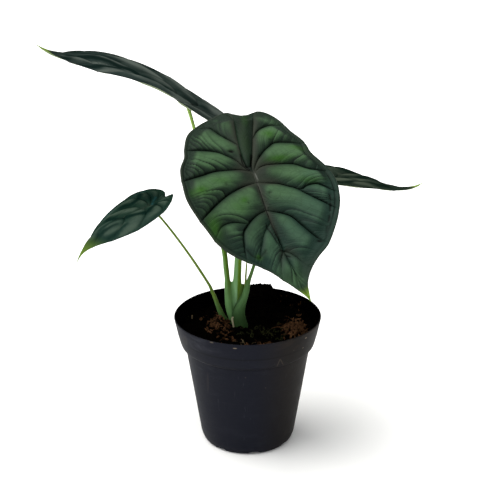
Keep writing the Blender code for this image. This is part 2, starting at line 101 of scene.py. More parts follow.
# veins from the tip counter-clockwise: name, vein it leaves, ring, points up to the margin
FRONT_VEINS = (
    ("right tip vein", "midrib", 8, ((0.03, -0.43), (0.052, -0.48), (0.072, -0.523))),
    ("right lower", "midrib", 4, ((0.069, -0.231), (0.101, -0.262), (0.124, -0.314), (0.16, -0.4),
        (0.19, -0.447))),
    ("right middle", "midrib", 1, ((0.056, -0.062), (0.096, -0.071), (0.132, -0.09), (0.167, -0.112),
        (0.209, -0.161), (0.255, -0.22), (0.308, -0.294))),
    ("right fork", "right middle", 6, ((0.195, -0.119), (0.217, -0.108), (0.249, -0.105), (0.275, -0.116),
        (0.336, -0.189))),
    ("right cross", "midrib", 0, ((0.046, 0.036), (0.118, 0.044), (0.189, 0.038), (0.255, -0.005),
        (0.347, -0.035))),
    ("right upper", "midrib", 0, ((0.02, 0.05), (0.05, 0.099), (0.095, 0.153), (0.142, 0.185),
        (0.27, 0.185))),
    ("right lobe vein", "right basal rib", 6, ((0.06, 0.262), (0.111, 0.304), (0.19, 0.335))),
    ("right basal rib", "midrib", 0, ((-0.004, 0.042), (0.013, 0.112), (0.03, 0.22), (0.041, 0.33),
        (0.045, 0.405))),
    ("left basal rib", "midrib", 0, ((-0.026, 0.036), (-0.036, 0.08), (-0.042, 0.188), (-0.046, 0.3),
        (-0.052, 0.395))),
    ("left lobe fork", "left basal rib", 10, ((-0.07, 0.375), (-0.105, 0.408))),
    ("left lobe vein", "left basal rib", 5, ((-0.071, 0.185), (-0.115, 0.226), (-0.166, 0.285),
        (-0.235, 0.29))),
    ("left upper", "midrib", 0, ((-0.04, 0.035), (-0.068, 0.071), (-0.104, 0.098), (-0.162, 0.125),
        (-0.288, 0.135))),
    ("left cross", "midrib", 0, ((-0.028, 0.014), (-0.072, 0.02), (-0.172, 0.014), (-0.249, -0.01),
        (-0.342, -0.04))),
    ("left middle", "midrib", 1, ((-0.068, -0.07), (-0.134, -0.098), (-0.208, -0.141), (-0.325, -0.225))),
    ("left middle fork", "left lower", 7, ((-0.177, -0.24), (-0.223, -0.245), (-0.255, -0.26),
        (-0.282, -0.287), (-0.32, -0.318))),
    ("left lower", "midrib", 4, ((-0.058, -0.218), (-0.121, -0.262), (-0.165, -0.31), (-0.2, -0.42))),
    ("left small", "midrib", 5, ((-0.05, -0.3), (-0.085, -0.345), (-0.118, -0.395), (-0.14, -0.462))),
    ("left tip vein", "midrib", 8, ((-0.035, -0.44), (-0.058, -0.495), (-0.075, -0.533))),
)

# how each vein of the front blade shows: ring where its grey band ends, (ring, painted shade) along its
# valley, and the rings between which a painted black shade line runs in its crease
VEIN_LOOKS = {
    "midrib": (0.5, ((0.3, 0), (0.42, 0.7), (0.5, 1), (0.62, 1), (0.67, 0.15), (0.74, 0)), (0.03, 0.4)),
    "right tip vein": (0.75, ((0.65, 0), (0.9, 0)), (0, 0)),
    "right lower": (0.36, ((0.35, 0.2), (0.45, 0.7), (0.8, 0.8), (0.88, 0.9), (0.95, 0.2)), (0.42, 0.7)),
    "right middle": (0.3, ((0.15, 0.2), (0.35, 0.5), (0.8, 0.8)), (0.2, 0.88)),
    "right fork": (0.3, ((0.66, 0.9), (0.85, 0.8)), (0.66, 0.8)),
    "right cross": (0.34, ((0.1, 0.3), (0.4, 0.4), (0.6, 0.7), (0.85, 0.7)), (0.1, 0.8)),
    "right upper": (0.26, ((0.1, 0.6), (0.25, 0.7), (0.45, 0.5), (0.6, 0.7), (0.85, 0.5)), (0.55, 0.62)),
    "right lobe vein": (0.55, ((0.55, 0.3), (0.7, 0.6), (0.85, 0.5)), (0.6, 0.68)),
    "right basal rib": (0.95, ((0.06, 1), (0.2, 0.8), (0.3, 0.25), (0.45, 0.1), (0.8, 0.1)), (0.05, 0.26)),
    "left basal rib": (0.95, ((0.06, 1), (0.16, 0.9), (0.24, 0.3), (0.45, 0.1), (0.8, 0.1)), (0.04, 0.22)),
    "left lobe fork": (0.5, ((0.85, 0.2), (0.9, 0.4)), (0, 0)),
    "left lobe vein": (0.5, ((0.4, 0.3), (0.6, 0.6), (0.8, 0.5), (0.95, 0.4)), (0.6, 0.63)),
    "left upper": (0.3, ((0.08, 0.7), (0.25, 0.5), (0.5, 0.6), (0.7, 1), (0.92, 1)), (0.06, 0.28)),
    "left cross": (0.26, ((0.1, 0.5), (0.35, 0.5), (0.5, 0.9), (0.92, 1)), (0.1, 0.6)),
    "left middle": (0.3, ((0.15, 0.4), (0.35, 0.8), (0.6, 0.9), (0.95, 1.1)), (0.22, 0.34)),
    "left middle fork": (0.3, ((0.6, 0.3), (0.9, 0.5)), (0, 0)),
    "left lower": (0.36, ((0.35, 0.5), (0.5, 0.9), (0.62, 1.2), (0.85, 1.2), (0.95, 0.6)), (0.62, 0.66)),
    "left small": (0.3, ((0.45, 0), (0.7, 0.05), (0.9, 0.05)), (0, 0)),
    "left tip vein": (0.75, ((0.68, 0.04), (0.8, 0.02), (0.92, 0)), (0, 0)),
}
PLAIN_LOOK = (0.16, ((0.08, 0.3), (0.35, 0.6), (0.8, 0.7), (0.95, 0.3)), (0, 0))

# place along the margin, starting at the tip and going up the right side -> ring of the vein that
# runs inside the margin, and how strongly the strip outside it stands up
FRONT_HEM = (
    (0, 0.97, 0.1), (0.07, 0.965, 0.4), (0.13, 0.955, 0.8), (0.2, 0.945, 1), (0.27, 0.925, 1),
    (0.315, 0.905, 1), (0.345, 0.94, 0.8), (0.4, 0.955, 0.6), (0.46, 0.97, 0.3), (0.54, 0.975, 0.2),
    (0.62, 0.965, 0.6), (0.68, 0.955, 0.9), (0.8, 0.955, 0.9), (0.92, 0.97, 0.5), (1, 0.97, 0.1),
)

PLAIN_HEM = ((0, 0.965, 0.35), (1, 0.965, 0.35))

# cross ridges of each panel, by the vein at its start: how far they bend out towards the margin on
# their way across, the power of that bend, and (ring at the vein nearer the tip, strength) of each
FRONT_RIDGES = {
    "midrib": (0.5, 1.2, ((0.76, 0.3), (0.84, 0.4), (0.91, 0.3))),
    "right tip vein": (0.5, 1.5, ((0.46, 0.1), (0.6, 0.2), (0.72, 0.9), (0.84, 0.3), (0.93, 0.3))),
    "right lower": (1.6, 1.9, ((0.14, 0.3), (0.22, 0.3), (0.3, 0.1), (0.49, 0.8), (0.66, 0.7), (0.79, 0.4),
        (0.9, 0.3))),
    "right middle": (0.8, 1.5, ((0.58, 0.6), (0.66, 0.9), (0.73, 1), (0.79, 0.8), (0.86, 0.7),
        (0.93, 0.6))),
    "right fork": (0.5, 1, ((0.14, 0.1), (0.34, 0.3), (0.49, 0.7), (0.6, 0.9), (0.69, 0.5), (0.78, 0.6),
        (0.87, 0.5))),
    "right cross": (0.9, 1.5, ((0.16, 0.1), (0.36, 0.3), (0.54, 1.1), (0.68, 0.4), (0.81, 1), (0.91, 0.5))),
    "right upper": (0.4, 1.2, ((0.2, 0.1), (0.42, 0.3), (0.6, 0.9), (0.72, 0.6), (0.83, 0.6), (0.92, 0.4))),
    "right lobe vein": (0.5, 1, ((0.62, 0.3), (0.76, 0.4), (0.88, 0.3))),
    "right basal rib": (0.2, 1, ((0.4, 0.1), (0.62, 0.1), (0.8, 0.2))),
    "left basal rib": (0.4, 1, ((0.86, 0.2), (0.93, 0.2))),
    "left lobe fork": (0.5, 1, ((0.5, 0.3), (0.62, 0.5), (0.74, 0.4), (0.86, 0.5))),
    "left lobe vein": (0.48, 1.05, ((0.26, 0.2), (0.45, 0.7), (0.58, 0.5), (0.65, 0.9), (0.72, 0.8),
        (0.8, 1), (0.87, 0.8), (0.93, 0.7))),
    "left upper": (0.8, 1.6, ((0.18, 0.3), (0.33, 0.8), (0.48, 1.2), (0.64, 0.9), (0.71, 0.7), (0.78, 1),
        (0.85, 0.8), (0.92, 0.6))),
    "left cross": (2.4, 3, ((0.14, 0.2), (0.3, 0.2), (0.53, 1.2), (0.65, 0.6), (0.73, 0.8), (0.8, 0.6),
        (0.87, 1), (0.93, 0.7))),
    "left middle": (0.7, 1.6, ((0.2, 0.2), (0.36, 0.2), (0.56, 1), (0.74, 0.4), (0.9, 0.4))),
    "left middle fork": (0.25, 1.2, ((0.68, 0.6), (0.74, 1.1), (0.79, 0.5), (0.85, 0.8), (0.9, 1.2),
        (0.95, 0.6))),
    "left lower": (0.5, 1.2, ((0.42, 0.3), (0.5, 0.3), (0.58, 0.3), (0.66, 0.3), (0.75, 0.7), (0.87, 0.6))),
    "left small": (0.6, 1.4, ((0.5, 0.4), (0.58, 0.5), (0.66, 0.9), (0.8, 0.4), (0.92, 0.3))),
    "left tip vein": (0.5, 1.2, ((0.72, 0.8), (0.84, 0.4), (0.92, 0.3))),
}
PLAIN_RIDGES = (
    0.55, 1.3,
    ((0.2, 0.3), (0.33, 0.5), (0.45, 0.8), (0.57, 0.7), (0.67, 0.9), (0.77, 0.7), (0.86, 0.8), (0.94, 0.5)),
)

SIDE_OUTLINE = (
    (0.012, -0.612), (0.03, -0.572), (0.066, -0.522), (0.13, -0.462), (0.205, -0.385), (0.275, -0.285),
    (0.322, -0.175), (0.345, -0.06), (0.343, 0.055), (0.32, 0.165), (0.275, 0.255), (0.215, 0.318),
    (0.15, 0.35), (0.085, 0.352), (0.03, 0.315),
)
SIDE_NOTCH = (0, 0.285)
SIDE_VEINS = (
    ("tip vein", "midrib", 8, ((0.035, -0.435), (0.066, -0.522))),
    ("lower", "midrib", 4, ((0.069, -0.231), (0.124, -0.3), (0.17, -0.425))),
    ("middle", "midrib", 1, ((0.09, -0.062), (0.185, -0.12), (0.29, -0.255))),
    ("cross", "midrib", 0, ((0.09, 0.036), (0.2, 0.02), (0.344, -0.04))),
    ("upper", "midrib", 0, ((0.06, 0.09), (0.15, 0.16), (0.31, 0.185))),
    ("lobe vein", "basal rib", 6, ((0.07, 0.22), (0.12, 0.285), (0.19, 0.335))),
    ("basal rib", "midrib", 0, ((0.018, 0.06), (0.032, 0.15), (0.052, 0.24), (0.085, 0.35))),
)

# stalk routes from the soil up: x, y, z, half width, and half depth where the stalk is oval
FRONT_STALK = (
    (-8, 4.4, 86, 4.9, 3.6), (-8.2, 4.4, 99, 4.8, 3.6), (-9.2, 4.4, 111, 4.2, 3.5),
    (-9.1, 4.6, 123, 3.9, 3.3), (-8.6, 5, 136.1, 3.4, 3.1), (-8, 5, 147, 3.1, 3),
    (-7.5, 4, 157.5, 2.95, 2.95), (-5.6, -1.5, 180, 2.8), (-2, -10.5, 207, 2.5), (2, -21, 226, 2.2),
)
HIGH_STALK = (
    (-10, 1.2, 86, 3.9, 2.7), (-10.4, 1.2, 98.8, 3.8, 2.7), (-12.4, 1.2, 106.3, 3.4, 2.7),
    (-14.2, 1.2, 112, 3.1, 2.6), (-15.2, 1.3, 117, 2.9, 2.6), (-15.7, 1.5, 123, 2.8, 2.5),
    (-16, 1.9, 129, 2.6, 2.4), (-16.2, 2.6, 134, 2.35, 2.3), (-16.5, 4, 139, 2.2, 2.2),
    (-17.5, 6.6, 148, 2.2, 2.2), (-19.3, 11.2, 162, 2.05, 2.1), (-27, 25.5, 192, 2),
    (-36.9, 47.5, 224.2, 1.6), (-42.2, 61.5, 241.8, 1.45), (-46.8, 72.5, 255.6, 1.4),
)
RIGHT_STALK = (
    (-6, -1.8, 86, 7, 3.6), (-6.4, -1.8, 99, 6.95, 3.6), (-7.1, -1.8, 105.5, 6.05, 3.5),
    (-7.5, -1.8, 111.2, 5.45, 3.3), (-6.7, -1.6, 116.1, 5, 3.1), (-5.4, -1.4, 119.8, 4.35, 2.9),
    (-2.9, -1, 125.6, 3.2, 2.5), (-1.5, -0.6, 129.9, 2.75, 2.2), (-0.1, 0, 135.8, 2.2, 1.9),
    (1, 0.6, 140, 1.8, 1.7), (2.7, 1.3, 144.5, 1.5, 1.5), (4.9, 2.6, 151, 1.35, 1.4),
    (11.6, 7.2, 168.5, 1.3), (20.5, 12.6, 188, 1.25), (29.5, 17.5, 204.5, 1.2),
)
LOW_STALK = (
    (-17.5, 1, 86, 2.7), (-19, 1, 100, 2.65), (-21.7, 1, 109.6, 2.5), (-24.2, 1, 116.8, 2.05),
    (-26.6, 1, 123.9, 1.75), (-29.4, 1.1, 131, 1.42), (-32.1, 1.2, 137, 1.3), (-44.9, 2, 158, 1),
    (-58, 2.5, 177.5, 0.95), (-69.6, 2.8, 193, 0.9),
)
SHOOT = (
    (-6, 1.8, 86, 0.6), (-5, 1.8, 110, 0.6), (-3.2, 2, 128, 0.7), (-1.8, 2.2, 137.5, 0.8),
    (-1.5, 2.4, 142.7, 0.78), (-1.1, 2.7, 147.8, 0.74), (-0.9, 2.9, 152.3, 0.62), (-0.8, 3, 155.6, 0.25),
)
# skins between neighbouring stalks, and a dry scrap of an old sheath
MIDDLE_WEB = (
    (-11, 3, 86, 3, 2.4), (-11.2, 3, 100, 3, 2.4), (-12, 3, 118, 3, 2.3), (-12.5, 3, 128, 2.4, 1.9),
    (-12.9, 3.2, 132, 2, 1.6), (-13.1, 3.4, 135, 1.5, 1.2), (-13.1, 3.5, 137.2, 0.6, 0.7),
)
RIGHT_WEB = (
    (-6, 2, 100, 2.6, 1.6), (-6, 2, 118, 2.6, 1.5), (-5, 2, 125, 2.4, 1.4), (-4.4, 2.2, 130, 1.9, 1.2),
    (-4, 2.4, 133.5, 1.4, 1), (-3.8, 2.6, 135.8, 0.7, 0.7),
)
LOW_WEB = (
    (-16, 1.2, 86, 3, 0.8), (-17.2, 1.2, 99, 3, 0.8), (-18.6, 1.2, 105, 2.3, 0.75),
    (-20, 1.2, 109.5, 1.2, 0.6), (-21.3, 1.2, 114.5, 0.3, 0.4),
)
SCRAP = (
    (-11.2, -4.6, 98, 0.9, 0.5), (-11.9, -4.3, 103, 0.75, 0.5), (-12.5, -3.8, 107, 0.9, 0.5),
    (-11.9, -3.7, 109.3, 0.7, 0.45), (-11.1, -3.9, 108.6, 0.3, 0.3),
)

# how the skin of each stalk looks by height: z, then its left and right sides' warmth, partly painted
# shade on the side away from the light, then painted shadow and painted glow
FRONT_TINTS = (
    (98, 0, 0.2, 0.2, 0.4, 0.1, 0), (108, 0, 0.2, 0, 0.25, 0.5, 0.1), (118, 0, 0.7, 0, 0.25, 1, 0),
    (128, 0.1, 1.1, 0, 0.25, 0.8, 0), (140, 0.35, 1.4, 0, 0.12, 0.3, 0), (155, 0.45, 1.5, 0, 0.08, 0.2, 0),
    (170, 0.4, 1.3, 0, 0.1, 0, 0),
)
HIGH_TINTS = (
    (98, 0.2, 0.2, 0.58, 0.58, 0, 0), (106, 0.1, 0.1, 0.32, 0.32, 0, 0), (113, 0, 0, 0, 0.15, 0, 0),
    (122, 0, 0.2, 0, 0.15, 0, 0), (134, 0.4, 0.8, 0.12, 0.45, 0, 0), (146, 0.6, 1.4, 0.05, 0.45, 0, 0),
    (160, 0.7, 1.5, 0, 0.42, 0, 0), (185, 0.6, 0.9, 0.1, 0.3, 0, 0), (225, 0.5, 0.7, 0, 0, 0.8, 0.7),
    (262, 0.4, 0.5, 0, 0, 1, 1),
)
RIGHT_TINTS = (
    (98, 0.5, 0.5, 0.9, 0.9, 0, 0), (105, 0.4, 0.3, 0.88, 0.84, 0, 0), (112, 0.1, 0.2, 0.86, 0.72, 0, 0),
    (119, 0.1, 0.1, 0.84, 0.56, 0, 0), (125, 0.3, 0.1, 0.8, 0.44, 0, 0), (131, 0.3, 0.2, 0.52, 0.44, 0, 0),
    (140, 0.6, 0.7, 0.5, 0.52, 0, 0), (155, 0.6, 0.8, 0.5, 0.5, 0, 0), (200, 0.6, 0.6, 0.2, 0.2, 0, 0),
)
LOW_TINTS = (
    (98, 0.4, 0.4, 0.65, 0.65, 0, 0), (108, 0.3, 0.4, 0.5, 0.6, 0, 0), (118, 0.3, 0.7, 0.2, 0.45, 0, 0),
    (128, 0.8, 1, 0.1, 0.25, 0, 0), (160, 1, 1.2, 0, 0.1, 0, 0), (200, 1, 1, 0, 0.1, 0, 0),
)
SHOOT_TINTS = (
    (98, 0.9, 0.9, 0.3, 0.3, 0, 0), (128, 0.7, 0.7, 0.1, 0.1, 0.2, 0.2), (160, 0.6, 0.6, 0, 0, 0.5, 0.5),
)
MIDDLE_TINTS = (
    (98, 0.1, 0.1, 0.35, 0.35, 0, 0), (112, 0, 0, 0.15, 0.1, 0, 0.2), (138, 0.2, 0.1, 0.25, 0.15, 0, 0.1),
)
RIGHT_WEB_TINTS = ((98, 0.4, 0.4, 0.7, 0.7, 0, 0), (136, 1.2, 1.2, 0.74, 0.8, 0, 0))
SCRAP_TINTS = ((98, 0, 0, 0, 0.3, 0, 0), (110, 0, 0, 0, 0.2, 0.3, 0))


def ease(value: Array | float) -> Array:
    """Go smoothly from 0 to 1 and stay there outside that range."""
    value = np.clip(value, 0.0, 1.0)
    return value * value * (3 - 2 * value)


def unit(vector: Array) -> Array:
    """Return vectors at length one, along the last axis."""
    vector = np.asarray(vector, float)
    return vector / np.maximum(np.linalg.norm(vector, axis=-1, keepdims=True), 1e-12)


def turn(vectors: Array, axes: Array, angles: Array) -> Array:
    """Turn each vector about its axis by its angle.

    Args:
        vectors: rows to turn.
        axes: a unit axis for each row.
        angles: an angle in radians for each row.

    Returns:
        The turned rows.
    """
    cosine = np.cos(angles)[..., None]
    sine = np.sin(angles)[..., None]
    along = (axes * vectors).sum(-1, keepdims=True)
    return vectors * cosine + np.cross(axes, vectors) * sine + axes * along * (1 - cosine)


def smooth_path(points: Sequence | Array, count: int) -> Array:
    """Run a Catmull-Rom curve through points and space it evenly.

    Args:
        points: rows whose first numbers are places; any others are carried along.
        count: how many points to return.

    Returns:
        The curve's points, one row each.
    """
    points = np.asarray(points, float)
    ends = np.vstack([2 * points[0] - points[1], points, 2 * points[-1] - points[-2]])
    fine = []
    for index in range(len(points) - 1):
        p0, p1, p2, p3 = ends[index:index + 4]
        step = np.linspace(0.0, 1.0, CURVE_STEPS, endpoint=False)[:, None]
        fine.append(0.5 * (2 * p1 + (p2 - p0) * step + (2 * p0 - 5 * p1 + 4 * p2 - p3) * step ** 2
                           + (3 * p1 - p0 - 3 * p2 + p3) * step ** 3))
    fine = np.vstack([*fine, points[-1:]])
    run = np.concatenate([[0.0], np.cumsum(np.linalg.norm(np.diff(fine[:, :3], axis=0), axis=1))])
    places = np.linspace(0.0, run[-1], count)
    return np.stack([np.interp(places, run, fine[:, k]) for k in range(fine.shape[1])], -1)


def mirrored(points: tuple[Point, ...]) -> tuple[Point, ...]:
    """Return plan points on the other side of the midrib."""
    return tuple((-x, y) for x, y in points)


def value_noise(points: Array, seed: int) -> Array:
    """Return smooth noise from -1 to 1 at 2-D or 3-D points whose cells are one unit wide.

    Args:
        points: an array whose last axis holds the coordinates.
        seed: picks one of many patterns.

    Returns:
        One value for each point.
    """
    base = np.floor(points).astype(np.int64)
    part = ease(points - base)
    noise = np.zeros(points.shape[:-1])
    size = points.shape[-1]
    for corner in range(2 ** size):
        offset = np.array([(corner >> k) & 1 for k in range(size)])
        code = ((base + offset) * CELL_PRIMES[:size]).sum(-1) + seed * SEED_PRIME
        code = (code ^ (code >> 13)) * MIXER
        code = (code ^ (code >> 16)) & 0xFFFFFF
        weight = np.prod(np.where(offset == 1, part, 1 - part), -1)
        noise += weight * (code / 0x7FFFFF - 1.0)
    return noise


# Shader building

class Value:
    """A node socket that takes part in sums and products, which become Math nodes."""

    def __init__(self, graph: Graph, socket: NodeSocket) -> None:
        """Hold a socket and the graph that it belongs to."""
        self.graph = graph
        self.socket = socket

    def maths(self, operation: str, other: Value | float = 0.0, swap: bool = False) -> Value:
        """Return the result of a Math node on this value and another."""
        first, second = (other, self) if swap else (self, other)
        return self.graph.node("ShaderNodeMath", {"operation": operation}, {0: first, 1: second})

    __add__ = partialmethod(maths, "ADD")
    __radd__ = partialmethod(maths, "ADD", swap=True)
    __sub__ = partialmethod(maths, "SUBTRACT")
    __rsub__ = partialmethod(maths, "SUBTRACT", swap=True)
    __mul__ = partialmethod(maths, "MULTIPLY")
    __rmul__ = partialmethod(maths, "MULTIPLY", swap=True)
    __truediv__ = partialmethod(maths, "DIVIDE")
    __rtruediv__ = partialmethod(maths, "DIVIDE", swap=True)
    __pow__ = partialmethod(maths, "POWER")
    __rpow__ = partialmethod(maths, "POWER", swap=True)
    __neg__ = partialmethod(maths, "MULTIPLY", -1.0)

    def absolute(self) -> Value:
        """Return the size without its sign."""
        return self.maths("ABSOLUTE")

    def between(self, low: float, high: float) -> Value:
        """Step smoothly up from one value to another.

        Args:
            low: where the step starts.
            high: where it ends.

        Returns:
            0 up to low, 1 from high on.
        """
        settings = {"interpolation_type": "SMOOTHSTEP", "clamp": True}
        inputs = {"Value": self, "From Min": low, "From Max": high}
        return self.graph.node("ShaderNodeMapRange", settings, inputs)

    def falling(self, low: float, high: float) -> Value:
        """Return 1 at low, 0 at high and a smooth step between them."""
        return 1.0 - self.between(low, high)

    def within(self, low: float, full: float, fade: float, high: float) -> Value:
        """Return 1 from full to fade, with smooth steps down to 0 at low and at high."""
        return self.between(low, full) * self.falling(fade, high)


class Graph:
    """The node tree of one material around a Principled shader."""

    def __init__(self, name: str) -> None:
        """Make a material by name, with nodes and a Principled shader."""
        self.material = bpy.data.materials.new(name)
        self.material.use_nodes = True
        self.tree = self.material.node_tree
        self.shader = self.tree.nodes["Principled BSDF"]

    def feed(self, socket: NodeSocket, value: Value | Sequence | float) -> None:
        """Link a value to a socket, or set the socket to a number or colour.

        Args:
            socket: a node's input.
            value: what it takes.
        """
        if isinstance(value, Value):
            self.tree.links.new(value.socket, socket)
        elif isinstance(value, (tuple, list)) and socket.type == "RGBA":
            socket.default_value = (*value[:3], 1.0)
        else:
            socket.default_value = value

    def node(self, kind: str, settings: dict | None = None, inputs: dict | None = None,
             output: int | str = 0) -> Value:
        """Add a node and return one of its outputs.

        Args:
            kind: the node's type.
            settings: attribute names and values.
            inputs: socket names or numbers, with values, numbers or colours.
            output: name or number of the wanted output.

        Returns:
            The output as a value.
        """
        made = self.tree.nodes.new(kind)
        for name, setting in (settings or {}).items():
            setattr(made, name, setting)
        for key, value in (inputs or {}).items():
            self.feed(made.inputs[key], value)
        return Value(self, made.outputs[output])

    def place(self) -> Value:
        """Return the object's own coordinates."""
        return self.node("ShaderNodeTexCoord", output="Object")

    def attribute(self, name: str) -> Value:
        """Return a number stored on the mesh."""
        return self.node("ShaderNodeAttribute", {"attribute_name": name}, output="Fac")

    def attributes(self, *names: str) -> list[Value]:
        """Return several numbers stored on the mesh."""
        return [self.attribute(name) for name in names]

    def plan(self) -> Value:
        """Return the leaf's plan coordinates."""
        return self.node("ShaderNodeUVMap", {"uv_map": "plan"})

    def stretched(self, vector: Value, scale: tuple[float, float, float]) -> Value:
        """Return a vector scaled along each axis."""
        return self.node("ShaderNodeVectorMath", {"operation": "MULTIPLY"}, {0: vector, 1: scale})

    def split(self, vector: Value) -> tuple[Value, Value, Value]:
        """Take a vector apart.

        Args:
            vector: any vector.

        Returns:
            Its three parts.
        """
        made = self.tree.nodes.new("ShaderNodeSeparateXYZ")
        self.feed(made.inputs[0], vector)
        return tuple(Value(self, made.outputs[k]) for k in range(3))

    def noise(self, vector: Value, scale: float, detail: float = 3.0, rough: float = 0.55,
              bend: float = 0.0) -> Value:
        """Return noise from 0 to 1."""
        inputs = {"Vector": vector, "Scale": scale, "Detail": detail, "Roughness": rough, "Distortion": bend}
        return self.node("ShaderNodeTexNoise", {}, inputs, "Fac")

    def cells(self, vector: Value, scale: float, feature: str = "F1", chance: float = 1.0) -> Value:
        """Return the distance pattern of Voronoi cells."""
        inputs = {"Vector": vector, "Scale": scale, "Randomness": chance}
        return self.node("ShaderNodeTexVoronoi", {"feature": feature}, inputs, "Distance")

    def mix(self, factor: Value | float, first: Value | Colour, second: Value | Colour) -> Value:
        """Blend two colours.

        Args:
            factor: the share of the second.
            first: the colour at 0.
            second: the colour at 1.

        Returns:
            The blend.
        """
        made = self.tree.nodes.new("ShaderNodeMix")
        made.data_type = "RGBA"
        self.feed(made.inputs[0], factor)
        self.feed(made.inputs[6], first)
        self.feed(made.inputs[7], second)
        return Value(self, made.outputs[2])

    def coated(self, colour: Value | Colour, *coats: tuple) -> Value:
        """Lay coats over a colour in turn.

        Args:
            colour: what lies under them.
            coats: the cover and the colour of each.

        Returns:
            The final colour.
        """
        for cover, paint in coats:
            colour = self.mix(cover, colour, paint)
        return colour

    def bump(self, height: Value, depth: float, under: Value | None = None) -> Value:
        """Bump the normal.

        Args:
            height: a height from 0 to 1.
            depth: how tall it stands in metres.
            under: a normal to start from.

        Returns:
            The bumped normal.
        """
        inputs = {"Strength": 1.0, "Distance": depth, "Height": height}
        if under is not None:
            inputs["Normal"] = under
        return self.node("ShaderNodeBump", {}, inputs)

    def finish(self, **inputs: Value | Sequence | float) -> Material:
        """Feed the Principled shader.

        Args:
            inputs: values by socket name, with underscores for its spaces.

        Returns:
            The finished material.
        """
        for name, value in inputs.items():
            self.feed(self.shader.inputs[name.replace("_", " ")], value)
        return self.material


# Finishes

# colours of a blade's painted highlight streak, its dust and its underside, and of the crumbs inside the
# collar
GLINT_COLOUR = (0.15, 0.155, 0.14)
DUST = (0.16, 0.18, 0.16)
UNDER_DARK, UNDER_PALE = (0.12, 0.165, 0.085), (0.165, 0.215, 0.115)
UNDER_NET, UNDER_VEIN = (0.21, 0.27, 0.15), (0.3, 0.36, 0.2)
COLLAR_CRUMBS = (0.03, 0.015, 0.006)
# how tall the finishes' bumps stand, in metres
FOLD_BUMP, FINE_BUMP, NET_BUMP, LEAF_GRAIN_BUMP = 0.00035, 0.00008, 0.00006, 0.00002
UNDER_BUMP, STALK_BUMP, CRUMB_BUMP = 0.00018, 0.0001, 0.0004
POT_GRAIN_BUMP, POT_WAVE_BUMP = 0.00003, 0.0005
# how closely the fine strokes beside the midrib follow each other
STROKE_RATE = 470.0
# the arrow-shaped scuff on the collar: its point's x and height in metres, and its arms' slope
ARROW_X, ARROW_TOP, ARROW_SLOPE = 0.0257, 0.0937, 0.36


class Face(Enum):
    """The two faces of a blade."""

    UPPER = "upper"
    UNDER = "under"


